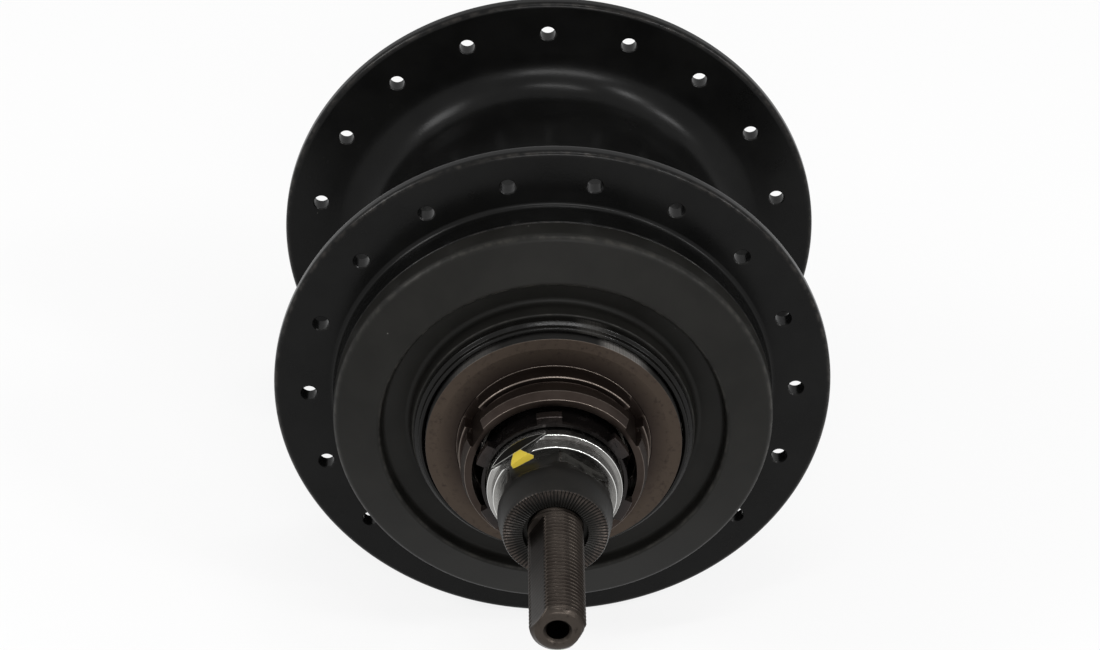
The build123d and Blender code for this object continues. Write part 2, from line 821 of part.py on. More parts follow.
pieces = {
    "hub_shell": hub_shell,
    "right_cover": right_cover,
    "right_seal": right_seal,
    "driver": driver,
    "driver_dust_cap": driver_dust_cap,
    "axle": axle,
    "right_cone": right_cone,
    "alignment_ring": alignment_ring,
    "right_locknut": right_locknut,
    "shift_ring": shift_ring,
    "fixed_sun_gear": fixed_sun_gear,
    "free_sun_gear": free_sun_gear,
    "planet_pins": planet_pins,
    "carrier_left_plate": carrier_left_plate,
    "carrier_right_plate": carrier_right_plate,
    "ring_gear": ring_gear,
    "clutch_cam": clutch_cam,
    "clutch_rollers": clutch_rollers,
    "roller_cage": roller_cage,
    "clutch_race": clutch_race,
    "brake_boss": brake_boss,
    "left_cone": left_cone,
    "left_dust_cap": left_dust_cap,
    "left_lock_washer": left_lock_washer,
    "left_locknut": left_locknut,
    "shell_balls": shell_balls,
    "shell_ball_cage": shell_ball_cage,
    "driver_balls": driver_balls,
    "driver_ball_cage": driver_ball_cage,
    "left_balls": left_balls,
    "left_ball_cage": left_ball_cage,
}

solids = {name: piece.part for name, piece in pieces.items()}
solids.update(planet_gears)

os.makedirs("parts", exist_ok=True)
for name, solid in solids.items():
    solid.label = name
    export_step(solid, f"parts/{name}.step")
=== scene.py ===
from math import asin, cos, pi, radians, sin, sqrt

import bmesh
import bpy
import numpy as np
from mathutils import Matrix, Vector


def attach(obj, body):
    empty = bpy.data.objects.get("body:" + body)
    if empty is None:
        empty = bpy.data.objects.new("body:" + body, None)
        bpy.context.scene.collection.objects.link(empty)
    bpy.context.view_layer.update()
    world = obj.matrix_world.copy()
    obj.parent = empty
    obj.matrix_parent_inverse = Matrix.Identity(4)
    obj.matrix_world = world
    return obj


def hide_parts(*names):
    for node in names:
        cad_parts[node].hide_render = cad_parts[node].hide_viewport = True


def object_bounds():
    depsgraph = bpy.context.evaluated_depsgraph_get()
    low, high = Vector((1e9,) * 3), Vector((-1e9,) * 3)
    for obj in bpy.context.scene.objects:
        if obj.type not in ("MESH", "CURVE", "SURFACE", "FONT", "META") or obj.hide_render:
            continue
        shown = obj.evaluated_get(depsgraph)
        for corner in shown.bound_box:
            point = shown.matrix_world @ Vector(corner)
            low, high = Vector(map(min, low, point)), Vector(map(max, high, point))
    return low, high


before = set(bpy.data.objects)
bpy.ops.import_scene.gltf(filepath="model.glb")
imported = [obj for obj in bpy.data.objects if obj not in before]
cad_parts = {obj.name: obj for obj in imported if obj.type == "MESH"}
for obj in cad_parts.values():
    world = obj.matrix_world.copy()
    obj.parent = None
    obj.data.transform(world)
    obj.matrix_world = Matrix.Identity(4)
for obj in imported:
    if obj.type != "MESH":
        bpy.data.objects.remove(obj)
cad_low, cad_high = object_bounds()

# Hub shell
# One aluminium casting with the barrel, both spoke flanges and the drum behind the cover.
# It is turned all over, drilled for 36 spokes and painted satin black.

# A station is a distance along the axle from the flanges' middle towards the sprocket, all in
# millimetres. That middle lies 5.5 mm from the origin, on the brake side.
MIDDLE = 5.5


def placed(station, radius, angle):
    """Points in metres. X is the radius times the cosine of the angle, Z the radius times
    its sine, and Y falls as the station along the axle grows."""
    station, radius, angle = np.broadcast_arrays(station, radius, angle)
    point = np.stack((radius * np.cos(angle), MIDDLE - station, radius * np.sin(angle)), -1)
    return point / 1000


def rounded(*corners, steps=6):
    """A closed outline through (station, radius, rounding) corners. Each corner gives way to
    an arc that touches both its sides. Returns the points and their wear, which is highest
    in the middle of an outward corner and 0 on the flats and inward corners."""
    corner = np.array(corners, float)
    point, rounding = corner[:, :2], corner[:, 2:]
    before = np.roll(point, 1, 0) - point
    after = np.roll(point, -1, 0) - point
    before /= np.linalg.norm(before, axis=1, keepdims=True)
    after /= np.linalg.norm(after, axis=1, keepdims=True)
    half = np.arccos(np.clip((before * after).sum(1, keepdims=True), -1, 1)) / 2
    inward = before + after
    inward /= np.maximum(np.linalg.norm(inward, axis=1, keepdims=True), 1e-9)
    centre = point + inward * rounding / np.sin(half)
    start = point + before * rounding / np.tan(half) - centre
    end = point + after * rounding / np.tan(half) - centre
    share = np.linspace(0, 1, steps + 1)[None, :, None]
    turn = np.maximum(pi - 2 * half, 1e-9)[:, None]
    arc = np.sin((1 - share) * turn) * start[:, None] + np.sin(share * turn) * end[:, None]
    arc = centre[:, None] + arc / np.sin(turn)
    following = np.roll(point, -1, 0)
    area = (point[:, 0] * following[:, 1] - point[:, 1] * following[:, 0]).sum()
    outward = np.sign(area) * (before[:, 1] * after[:, 0] - before[:, 0] * after[:, 1]) > 0
    wear = outward[:, None] * np.sin(pi * share[0, :, 0])[None]
    arc, wear = arc.reshape(-1, 2), wear.reshape(-1)
    apart = np.linalg.norm(arc - np.roll(arc, 1, 0), axis=1) > 1e-6
    return arc[apart], wear[apart]


def woven(points, wear=0.0, rows_meet=True, columns_meet=True, without=()):
    """The quads of a grid of points. Rows or columns that meet join the last to the first.
    The rows named in without get no quads."""
    rows, columns = points.shape[:2]
    row = np.setdiff1d(np.arange(rows if rows_meet else rows - 1), without)[:, None]
    column = np.arange(columns if columns_meet else columns - 1)[None]
    next_row, next_column = (row + 1) % rows * columns, (column + 1) % columns
    row = row * columns
    near, far = row + column, next_row + column
    quads = np.stack((near, row + next_column, next_row + next_column, far), -1)
    wear = np.broadcast_to(np.asarray(wear, float), (rows, columns))
    return points.reshape(-1, 3), quads.reshape(-1, 4), wear.reshape(-1)


def turned(outline, wear, angles, without=()):
    """The sheet of an outline that is turned round the axle, with a column at each angle."""
    grid = placed(outline[:, None, 0], outline[:, None, 1], angles)
    return woven(grid, wear[:, None], without=without)


def make_piece(name, body, node, slot, finish, *sheets):
    """One closed mesh out of woven sheets, which rides on a body in place of a CAD node."""
    starts = np.cumsum([0] + [len(sheet[0]) for sheet in sheets])
    points = np.concatenate([sheet[0] for sheet in sheets])
    quads = np.concatenate([sheet[1] + start for sheet, start in zip(sheets, starts)])
    mesh = bpy.data.meshes.new(name)
    mesh.from_pydata(points.tolist(), [], quads.tolist())
    wear = mesh.attributes.new("wear", "FLOAT", "POINT")
    values = np.concatenate([sheet[2] for sheet in sheets])
    wear.data.foreach_set("value", values.astype(np.float32))
    shape = bmesh.new()
    shape.from_mesh(mesh)
    bmesh.ops.remove_doubles(shape, verts=shape.verts, dist=1e-6)
    bmesh.ops.dissolve_degenerate(shape, dist=1e-7, edges=shape.edges)
    bmesh.ops.recalc_face_normals(shape, faces=shape.faces)
    shape.to_mesh(mesh)
    shape.free()
    mesh.shade_smooth()
    mesh.set_sharp_from_angle(angle=radians(38))
    mesh.materials.append(finish)
    piece = bpy.data.objects.new(name, mesh)
    bpy.context.scene.collection.objects.link(piece)
    piece.modifiers.new("even_shading", "WEIGHTED_NORMAL").keep_sharp = True
    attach(piece, body)
    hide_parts(node)
    return piece


class Wire:
    """An output socket that is used like a number: each sign between wires adds a Math node."""

    def __init__(self, socket):
        self.socket = socket

    def node(self, kind, settings, sockets, output=0):
        """Adds a node beside this wire's own. Its settings are set first, then its sockets."""
        tree = self.socket.id_data
        made = tree.nodes.new("ShaderNode" + kind)
        for name, value in settings.items():
            setattr(made, name, value)
        for name, value in sockets.items():
            if isinstance(value, Wire):
                tree.links.new(value.socket, made.inputs[name])
            else:
                made.inputs[name].default_value = value
        return Wire(made.outputs[output])

    def math(self, operation, *terms):
        return self.node("Math", {"operation": operation}, dict(enumerate(terms)))

    def __add__(self, other):
        return self.math("ADD", self, other)

    def __radd__(self, other):
        return self.math("ADD", other, self)

    def __sub__(self, other):
        return self.math("SUBTRACT", self, other)

    def __rsub__(self, other):
        return self.math("SUBTRACT", other, self)

    def __mul__(self, other):
        return self.math("MULTIPLY", self, other)

    def __rmul__(self, other):
        return self.math("MULTIPLY", other, self)

    def __pow__(self, other):
        return self.math("POWER", self, other)

    def ramp(self, low, high):
        """0 below low, 1 above high and a smooth rise between them."""
        settings = {"interpolation_type": "SMOOTHSTEP"}
        return self.node("MapRange", settings, {"Value": self, "From Min": low, "From Max": high})

    def over(self, under, colour):
        """This wire as a mask that lays a colour over another one."""
        under, colour = (c if isinstance(c, Wire) else (*c, 1.0) for c in (under, colour))
        return self.node("Mix", {"data_type": "RGBA"}, {0: self, 6: under, 7: colour}, 2)


def new_finish(name, **fixed):
    """A material, its shader, and the place of each point on the piece in millimetres."""
    material = bpy.data.materials.new(name)
    material.use_nodes = True
    shader = material.node_tree.nodes["Principled BSDF"]
    for socket, value in fixed.items():
        shader.inputs[socket.replace("_", " ")].default_value = value
    place = Wire(material.node_tree.nodes.new("ShaderNodeTexCoord").outputs["Object"])
    place = place.node("VectorMath", {"operation": "SCALE"}, {0: place, "Scale": 1000.0})
    return material, shader, place


def feed(shader, **wires):
    """Links wires to the shader's sockets."""
    for socket, wire in wires.items():
        wire.socket.id_data.links.new(wire.socket, shader.inputs[socket.replace("_", " ")])


def coordinates(place):
    """X, Y and Z of a place, in millimetres."""
    x = place.node("SeparateXYZ", {}, {"Vector": place}, "X")
    return x, Wire(x.socket.node.outputs["Y"]), Wire(x.socket.node.outputs["Z"])


def fine_lines(along, per_millimetre, detail=2.0):
    """Uneven lines across a coordinate, from 0 to 1."""
    sockets = {"W": along * per_millimetre, "Detail": detail}
    return along.node("TexNoise", {"noise_dimensions": "1D"}, sockets)


def clouds(place, size, detail=3.0, roughness=0.55):
    """Soft uneven patches, about as wide as the size in millimetres, from 0 to 1."""
    sockets = {"Vector": place, "Scale": 1 / size, "Detail": detail, "Roughness": roughness}
    return place.node("TexNoise", {}, sockets)


def specks(place, spacing, radius):
    """Small round dots, one to a cell of that spacing, in millimetres."""
    distance = place.node("TexVoronoi", {}, {"Vector": place, "Scale": 1 / spacing})
    return 1 - distance.ramp(0.5 * radius / spacing, radius / spacing)


def worn_edges(place):
    """The wear that the mesh holds, which is highest on its outward edges. On the stop ring it also
    holds a painted shade on the flat's floor and a painted reflection on the flat's wall.
    """
    return place.node("Attribute", {"attribute_name": "wear"}, {}, "Fac")


def relief(height, depth):
    """A bump of that depth in millimetres, for the Normal socket."""
    return height.node("Bump", {}, {"Height": height, "Distance": depth / 1000})


DUST = (0.16, 0.155, 0.145)


def satin_paint(name, dark, light, bare, roughness):
    """Thin satin paint over metal: a fine orange peel, faint patches, dust, and edges that
    have rubbed to a lighter grey."""
    material, shader, place = new_finish(name, Specular_IOR_Level=0.115)
    patches = clouds(place, 9.0)
    peel = clouds(place, 0.45, 2.0)
    dust = specks(place, spacing=5.0, radius=0.13) * clouds(place, 20.0, 1.0).ramp(0.5, 0.62)
    rub = worn_edges(place) ** 4 * clouds(place, 1.6, 4.0).ramp(0.38, 0.7)
    colour = patches.ramp(0.3, 0.7).over(dark, light)
    colour = (rub * 0.8).over(colour, bare)
    colour = dust.over(colour, DUST)
    feed(
        shader,
        Base_Color=colour,
        Roughness=roughness + 0.12 * (patches - 0.5) + 0.2 * dust - 0.08 * rub,
        Normal=relief(peel + 0.6 * dust, 0.012),
    )
    return material


shell_paint = satin_paint(
    "shell_paint",
    dark=(0.0034, 0.0034, 0.0033),
    light=(0.0050, 0.0050, 0.0048),
    bare=(0.034, 0.031, 0.028),
    roughness=0.25,
)

FLANGE_RADIUS, FLANGE_ROUNDING = 51.5, 1.1
FLANGE_INNER, FLANGE_OUTER = 25.45, 28.55
BARREL_RADIUS, BARREL_FILLET = 33.5, 7.5
DRUM_RADIUS, DRUM_END = 40.3, 34.0
BOSS_SEAT, SHELL_LEFT_END = 19.0, -36.05
HOLES, HOLE_CIRCLE, HOLE_RADIUS, HOLE_EDGE = 18, 45.0, 1.45, 0.18
LEFT_FIRST_HOLE, RIGHT_FIRST_HOLE = radians(90.5), radians(80.5)
BAND = (43.0, 47.0)
shell_outline, shell_wear = rounded(
    (SHELL_LEFT_END, BOSS_SEAT, 0.3),
    (SHELL_LEFT_END, 26.0, 1.0),
    (-FLANGE_OUTER, 36.5, 3.0),
    (-FLANGE_OUTER, BAND[0], 0.0),
    (-FLANGE_OUTER, BAND[1], 0.0),
    (-FLANGE_OUTER, FLANGE_RADIUS, FLANGE_ROUNDING),
    (-FLANGE_INNER, FLANGE_RADIUS, FLANGE_ROUNDING),
    (-FLANGE_INNER, BAND[1], 0.0),
    (-FLANGE_INNER, BAND[0], 0.0),
    (-FLANGE_INNER, BARREL_RADIUS, BARREL_FILLET),
    (FLANGE_INNER, BARREL_RADIUS, BARREL_FILLET),
    (FLANGE_INNER, BAND[0], 0.0),
    (FLANGE_INNER, BAND[1], 0.0),
    (FLANGE_INNER, FLANGE_RADIUS, FLANGE_ROUNDING),
    (FLANGE_OUTER, FLANGE_RADIUS, FLANGE_ROUNDING),
    (FLANGE_OUTER, BAND[1], 0.0),
    (FLANGE_OUTER, BAND[0], 0.0),
    (FLANGE_OUTER, DRUM_RADIUS, 1.0),
    (DRUM_END, DRUM_RADIUS, 0.4),
    (DRUM_END, 37.3, 0.2),
    (29.5, 37.3, 0.3),
    (29.5, 35.0, 0.3),
    (FLANGE_INNER, 31.0, 1.0),
    (-FLANGE_INNER, 31.0, 2.0),
    (-31.55, 23.5, 1.0),
    (-31.55, BOSS_SEAT, 0.3),
    steps=8,
)
degree_steps = radians(0.5) + np.arange(360) * radians(1)
on_band = np.isin(shell_outline[:, 1], BAND)
drilled_rows = np.flatnonzero(on_band & np.roll(on_band, -1))
barrel = turned(shell_outline, shell_wear, degree_steps, without=drilled_rows)


def drilled_sector(hole_angles):
    """The edge of each hole's share of the flange, 20 degrees wide, as polar points that go
    round it once, and the direction in which each of them lies from the hole's centre."""
    half_pitch, steps_along, steps_out = 180.0 / HOLES, 20, 4
    step_out = (BAND[1] - BAND[0]) / steps_out
    along = np.linspace(-half_pitch, half_pitch, steps_along + 1)[:-1]
    side = np.full(steps_out, half_pitch)
    angle = np.concatenate((along, side, -along, -side))
    out = BAND[0] + step_out * np.arange(steps_out)
    inner, outer = np.full(steps_along, BAND[0]), np.full(steps_along, BAND[1])
    radius = np.concatenate((inner, out, outer, out[::-1] + step_out))
    angle = hole_angles[:, None] + np.radians(angle)
    edge = np.stack((radius * np.cos(angle), radius * np.sin(angle)), -1)
    centre = HOLE_CIRCLE * np.stack((np.cos(hole_angles), np.sin(hole_angles)), -1)[:, None]
    towards = edge - centre
    return edge, centre, towards / np.linalg.norm(towards, axis=-1, keepdims=True)


def flange_drilling(faces, first_hole):
    """The drilled band of a flange: on both faces each point moves in a straight line from
    the sector's edge to the hole's rim, and a bevelled wall joins the two rims."""
    edge, centre, towards = drilled_sector(first_hole + np.arange(HOLES) * 2 * pi / HOLES)
    rim = centre + towards * (HOLE_RADIUS + HOLE_EDGE)
    wall = centre + towards * HOLE_RADIUS
    share = np.array([0.0, 0.4, 0.7, 0.9, 1.0])[:, None, None, None]
    flat = (edge + (rim - edge) * share, rim[None], wall[None])
    low, high = faces
    rows = [
        (flat[0], low),
        (flat[2], low + HOLE_EDGE),
        (flat[2], high - HOLE_EDGE),
        (flat[0][::-1], high),
    ]
    stations = np.concatenate([np.full(len(points), station) for points, station in rows])
    points = np.concatenate([points for points, station in rows])
    points = np.insert(points, 1, MIDDLE - stations[:, None, None], -1) / 1000
    rim_rows = (len(share) - 1, len(share) + 2)
    wear = np.where(np.isin(np.arange(len(stations)), rim_rows), 0.7, 0.0)
    return [woven(points[:, hole], wear[:, None], rows_meet=False) for hole in range(HOLES)]


left_holes = flange_drilling((-FLANGE_OUTER, -FLANGE_INNER), LEFT_FIRST_HOLE)
right_holes = flange_drilling((FLANGE_INNER, FLANGE_OUTER), RIGHT_FIRST_HOLE)
drilled = (*left_holes, *right_holes)
make_piece("shell_casting", "shell", "hub_shell", "shell_paint", shell_paint, barrel, *drilled)

# Right cover
# A turned ring that screws into the drum and holds the outer ball cup. Its face slopes to a
# rounded shoulder, with a deep groove between the face and the lip round the seal.
cover_paint = satin_paint(
    "cover_paint",
    dark=(0.0088, 0.0085, 0.0076),
    light=(0.0116, 0.0112, 0.0100),
    bare=(0.034, 0.032, 0.028),
    roughness=0.44,
)
COVER_FACE, LIP_BORE = 42.0, 24.9
cover_outline, cover_wear = rounded(
    (30.0, 26.05, 0.2),
    (35.7, 26.05, 0.2),
    (35.7, LIP_BORE, 0.2),
    (COVER_FACE, LIP_BORE, 0.2),
    (COVER_FACE, 25.8, 0.35),
    (38.1, 26.1, 1.0),
    (39.2, 31.3, 1.0),
    (COVER_FACE, 31.6, 0.7),
    (38.6, DRUM_RADIUS, 1.7),
    (DRUM_END, DRUM_RADIUS, 0.4),
    (DRUM_END, 37.28, 0.15),
    (30.0, 37.28, 0.2),
)
cover = turned(cover_outline, cover_wear, degree_steps)
make_piece("cover_ring", "shell", "right_cover", "cover_paint", cover_paint, cover)

# Right seal
# A glossy moulded ring pressed in the cover's lip. Its bead overhangs the lip, and a lighter
# patch in fine lines at the top right is a painted highlight.
seal_rubber, seal_shader, seal_place = new_finish("seal_rubber", Specular_IOR_Level=0.16)
seal_x, _, seal_z = coordinates(seal_place)
# A painted highlight: a lighter patch at the top right, in fine lines across X, which is also rougher.
seal_highlight_area = seal_x.ramp(3.0, 6.0) * (1 - seal_x.ramp(7.0, 11.0)) * seal_z.ramp(16.0, 20.0)
seal_painted_highlight = seal_highlight_area * fine_lines(seal_x, 2.6).ramp(0.35, 0.65)
smears = clouds(seal_place, 3.5, 4.0)
feed(
    seal_shader,
    Base_Color=seal_painted_highlight.over((0.0040, 0.0038, 0.0034), (0.035, 0.033, 0.030)),
    Roughness=0.16 + 0.2 * smears.ramp(0.5, 0.75) + 0.2 * seal_painted_highlight,
    Normal=relief(clouds(seal_place, 1.2, 3.0), 0.03),
)
SEAL_BORE, SEAL_FRONT = 23.55, 44.7
seal_outline, seal_wear = rounded(
    (40.4, SEAL_BORE, 0.1),
    (40.4, 24.88, 0.1),
    (COVER_FACE, 24.88, 0.05),
    (42.15, 25.38, 0.12),
    (43.5, 25.38, 0.35),
    (43.9, 24.75, 0.2),
    (SEAL_FRONT, 24.55, 0.3),
    (SEAL_FRONT, 23.95, 0.2),
    (44.0, SEAL_BORE, 0.2),
)
seal = turned(seal_outline, seal_wear, degree_steps)
make_piece("seal_ring", "shell", "right_seal", "seal_rubber", seal_rubber, seal)

# Driver
# A hardened steel tube. The sprocket sits against the dust cap on the seat, three lugs go in
# the notches, and a circlip in the groove holds it.


def turned_steel(name, colour, stain, bright, roughness, ring_pitch=0.35):
    """Turned steel: fine rings from the tool, brown stains of old grease, and edges worn
    bright."""
    material, shader, place = new_finish(name, Metallic=1.0)
    x, y, z = coordinates(place)
    radius = (x * x + z * z) ** 0.5
    rings = fine_lines(radius - y, 1 / ring_pitch)
    patches = clouds(place, 5.5, 3.0)
    rub = worn_edges(place) * clouds(place, 0.9, 3.0).ramp(0.15, 0.5)
    colour = patches.ramp(0.3, 0.8).over(colour, stain)
    colour = rub.over(colour, bright)
    feed(
        shader,
        Base_Color=colour,
        Roughness=roughness + 0.12 * (patches - 0.5) + 0.14 * (rings - 0.5) - 0.08 * rub,
        Normal=relief(rings + 0.4 * clouds(place, 0.3, 2.0), 0.006),
    )
    return material


# Its bright colour on the worn edges is partly wear and partly a painted highlight along the tube's
# edges.
driver_steel = turned_steel(
    "driver_steel",
    colour=(0.044, 0.034, 0.029),
    stain=(0.027, 0.020, 0.017),
    bright=(0.155, 0.130, 0.113),
    roughness=0.38,
)
NOTCHES = np.radians([30.0, 150.0, 270.0])
NOTCH_HALF = asin(2.3 / 16.9)
NOTCH_FLOOR = 15.7
CAP_BACK, CAP_FRONT = 43.5, 46.4
SEAT_RADIUS, GROOVE_RADIUS, LIP_RADIUS = 17.3, 16.2, 16.9
GROOVE_START, GROOVE_END, DRIVER_FRONT = 49.4, 50.6, 55.0
driver_outline, driver_wear = rounded(
    (DRIVER_FRONT, 14.8, 0.15),
    (DRIVER_FRONT, 16.2, 0.12),
    (53.0, LIP_RADIUS, 0.9),
    (GROOVE_END, LIP_RADIUS, 0.25),
    (GROOVE_END, GROOVE_RADIUS, 0.08),
    (GROOVE_START, GROOVE_RADIUS, 0.08),
    (GROOVE_START, SEAT_RADIUS, 0.25),
    (CAP_FRONT + 0.001, SEAT_RADIUS, 0.0),
    (CAP_FRONT, 17.7, 0.12),
    (CAP_BACK, 17.7, 0.1),
    (CAP_BACK, 21.47, 0.15),
    (33.28, 21.47, 0.2),
    (31.08, 23.67, 0.15),
    (28.6, 23.67, 0.2),
    (28.6, 12.5, 0.4),
    (18.0, 12.5, 0.2),
    (18.0, 9.0, 0.2),
    (44.0, 9.0, 0.2),
    (44.0, 14.715, 0.1),
    (50.0, 14.715, 0.05),
    (50.0, 14.8, 0.0),
)
notch_sides = NOTCH_HALF * np.array([-1.03, -1.0, -0.97, 0.97, 1.0, 1.03])
near_edges = (NOTCHES[:, None] + notch_sides).ravel()
fine_steps = np.radians(np.arange(0, 360, 1.5))
driver_angles = np.unique(np.concatenate((fine_steps, near_edges)))
from_notch = (driver_angles[None] - NOTCHES[:, None] + pi) % (2 * pi) - pi
nearest = np.take_along_axis(from_notch, np.abs(from_notch).argmin(0)[None], 0)[0]
notched = np.clip((NOTCH_HALF * 1.015 - np.abs(nearest)) / (NOTCH_HALF * 0.03), 0, 1)
notch_floor = NOTCH_FLOOR / np.cos(nearest)
driver_reach = driver_outline[:, None, 1] + 0 * driver_angles
cut = (driver_outline[:, None, 0] > CAP_FRONT) & (driver_reach > notch_floor)
cut_reach = driver_reach + (notch_floor - driver_reach) * notched
driver_grid = placed(driver_outline[:, None, 0], np.where(cut, cut_reach, driver_reach), driver_angles)
tube = woven(driver_grid, driver_wear[:, None] * (1 - notched))
make_piece("driver_tube", "driver", "driver", "driver_steel", driver_steel, tube)

# Driver dust cap
# A pressed steel disc with a bronze tint, pushed on the seat. Its front edge is bevelled, and
# its rim is black with oil, with painted reflections in light grey near the top, mostly on the right.
CAP_RADIUS = 23.3
cap_bronze = turned_steel(
    "cap_bronze",
    colour=(0.036, 0.0275, 0.0235),
    stain=(0.028, 0.021, 0.018),
    bright=(0.066, 0.051, 0.040),
    roughness=0.54,
    ring_pitch=0.6,
)
cap_shader = cap_bronze.node_tree.nodes["Principled BSDF"]
cap_colour = Wire(cap_shader.inputs["Base Color"].links[0].from_socket)
cap_place = Wire(cap_bronze.node_tree.nodes["Vector Math"].outputs["Vector"])
cap_x, _, cap_z = coordinates(cap_place)
rim_start, rim_full = (CAP_RADIUS - 0.04) ** 2, (CAP_RADIUS - 0.01) ** 2
on_rim = (cap_x * cap_x + cap_z * cap_z).ramp(rim_start, rim_full)
# Painted reflections on the rim: light grey bands in fine lines near the top, on the right and more
# faintly on the left.
right_painted_reflection = cap_x.ramp(7.5, 10.0) * (1 - cap_x.ramp(14.0, 18.0))
left_painted_reflection = (0 - cap_x).ramp(9.0, 13.0) * (1 - (0 - cap_x).ramp(16.0, 20.0))
rim_painted_reflection = (right_painted_reflection + 0.3 * left_painted_reflection) * cap_z.ramp(8.0, 14.0)
rim_painted_reflection = rim_painted_reflection * fine_lines(cap_x, 2.6).ramp(0.36, 0.56)
rim_colour = rim_painted_reflection.over((0.0070, 0.0066, 0.0060), (0.20, 0.19, 0.178))
feed(cap_shader, Base_Color=on_rim.over(cap_colour, rim_colour), Metallic=1 - on_rim)
cap_outline, cap_wear = rounded(
    (CAP_BACK, 17.72, 0.1),
    (CAP_BACK, CAP_RADIUS, 0.2),
    (46.2, CAP_RADIUS, 0.12),
    (CAP_FRONT, 21.3, 0.25),
    (CAP_FRONT, 17.72, 0.12),
)
# The bevel's high wear gives it the bright colour: partly worn metal and partly a painted highlight.
bevel = (cap_outline[:, 0] > 46.05) & (cap_outline[:, 1] > 21.2)
cap = turned(cap_outline, np.where(bevel, 0.85, 0.35 * cap_wear), degree_steps)
make_piece("cap_disc", "driver", "driver_dust_cap", "cap_bronze", cap_bronze, cap)

# Shift ring
# A thin dark ring, wet with oil, that the shifter unit turns by its six tabs.
shift_steel, shift_shader, shift_place = new_finish("shift_ring_steel", Metallic=0.7)
oil = clouds(shift_place, 2.0, 3.0)
tab_face = worn_edges(shift_place) * clouds(shift_place, 1.5, 3.0).ramp(0.25, 0.55)
feed(
    shift_shader,
    Base_Color=tab_face.over((0.013, 0.011, 0.0105), (0.022, 0.0165, 0.015)),
    Roughness=0.1 + 0.3 * oil.ramp(0.5, 0.72) + 0.1 * tab_face,
    Normal=relief(oil + 0.5 * clouds(shift_place, 0.6), 0.09),
)
TAB_PITCH, TAB_HALF = radians(60.0), radians(9.5)
TABS = radians(34.0) + TAB_PITCH * np.arange(6)
COLLAR_BORE, COLLAR_OUTSIDE, TAB_REACH = 12.41, 13.11, 14.6
COLLAR_BACK, TAB_BACK, TAB_FRONT = 51.0, 56.2, 58.0
shift_outline, _ = rounded(
    (COLLAR_BACK, COLLAR_BORE, 0.1),
    (COLLAR_BACK, COLLAR_OUTSIDE, 0.1),
    (TAB_BACK, COLLAR_OUTSIDE, 0.0),
    (TAB_BACK, TAB_REACH, 0.15),
    (TAB_FRONT, TAB_REACH, 0.2),
    (TAB_FRONT, COLLAR_BORE, 0.1),
)
tab_sides = TAB_HALF * np.array([-1.06, -1.0, -0.94, 0.94, 1.0, 1.06])
beside_tabs = (TABS[:, None] + tab_sides).ravel() % (2 * pi)
shift_angles = np.unique(np.concatenate((np.radians(np.arange(0, 360, 2.0)), beside_tabs)))
from_tab = np.abs((shift_angles - TABS[0] + TAB_PITCH / 2) % TAB_PITCH - TAB_PITCH / 2)
on_tab = np.clip((TAB_HALF * 1.03 - from_tab) / (TAB_HALF * 0.06), 0, 1)
tab_limit = COLLAR_OUTSIDE + (TAB_REACH - COLLAR_OUTSIDE) * on_tab
shift_reach = np.minimum(shift_outline[:, None, 1], tab_limit)
shift_grid = placed(shift_outline[:, None, 0], shift_reach, shift_angles)
front_face = (shift_outline[:, None, 0] > 57.5) & (shift_outline[:, None, 1] > 12.6)
collar = woven(shift_grid, on_tab * front_face)
make_piece("shift_collar", "shift_ring", "shift_ring", "shift_ring_steel", shift_steel, collar)

# Right cone
# A ground steel cone screwed on the axle against its shoulder, with the driver's balls round
# its nose and the shift ring round its body.
cone_steel = turned_steel(
    "cone_steel",
    colour=(0.10, 0.09, 0.08),
    stain=(0.05, 0.042, 0.038),
    bright=(0.4, 0.38, 0.35),
    roughness=0.26,
)
AXLE_BORE = 5.0
CONE_FRONT = 57.0
cone_outline, cone_wear = rounded(
    (44.5, AXLE_BORE, 0.1),
    (44.5, 10.15, 0.2),
    (46.365, 10.15, 0.1),
    (48.565, 12.35, 0.2),
    (CONE_FRONT, 12.35, 0.2),
    (CONE_FRONT, AXLE_BORE, 0.1),
)
cone = turned(cone_outline, cone_wear, fine_steps)
make_piece("driver_cone", "axle", "right_cone", "cone_steel", cone_steel, cone)

# Alignment ring
# A bright plated stop ring between the cone and the locknut. One side of it is milled flat,
# and a yellow paint mark over the flat's edge shows where the shifter unit lines up.
FLAT_ANGLE, FLAT_REACH, FLAT_STATION = radians(128.3), 10.5, 59.3
EDGE_BREAK, FOOT_ROOM = 0.12, 0.1
RING_RADIUS, RING_FRONT = 12.15, 62.3
MARK_YELLOW = (0.66, 0.50, 0.045)
# The mark's corners: how far along the flat they are, and how far out from the axle, counted
# up the ring's front face and on over its edge.
MARK = np.array([
    (1.1, 13.9),
    (1.5, 12.0),
    (1.85, 9.6),
    (-2.4, 9.2),
    (-2.8, 9.7),
    (-2.4, 10.5),
    (-0.1, 13.9),
])
plated, plated_shader, plated_place = new_finish("plated_steel", Metallic=1.0)
plated_x, plated_y, plated_z = coordinates(plated_place)
plated_radius = (plated_x * plated_x + plated_z * plated_z) ** 0.5
scuffs = clouds(plated_place, 1.1, 5.0, 0.7)
lathe_lines = fine_lines(plated_radius - plated_y, 3.2, detail=3.0)
streaks = (lathe_lines + 0.35 * (scuffs - 0.5)).ramp(0.42, 0.62)
# Painted reflections: the ring's left and right sides are lighter, the left more so, and the left half of
# its front face is lighter too.
side = (0.7 - 0.3 * plated_x.ramp(-2.0, 2.0)) * (plated_x * plated_x).ramp(35.0, 100.0)
left_face_painted_light = (MIDDLE - RING_FRONT - plated_y).ramp(-0.06, -0.02) * (1 - plated_x.ramp(-4.0, 4.0))
# Worn edges polished bright, and the painted reflection on the flat's wall.
edge_polish_and_sheen = worn_edges(plated_place) ** 1.5
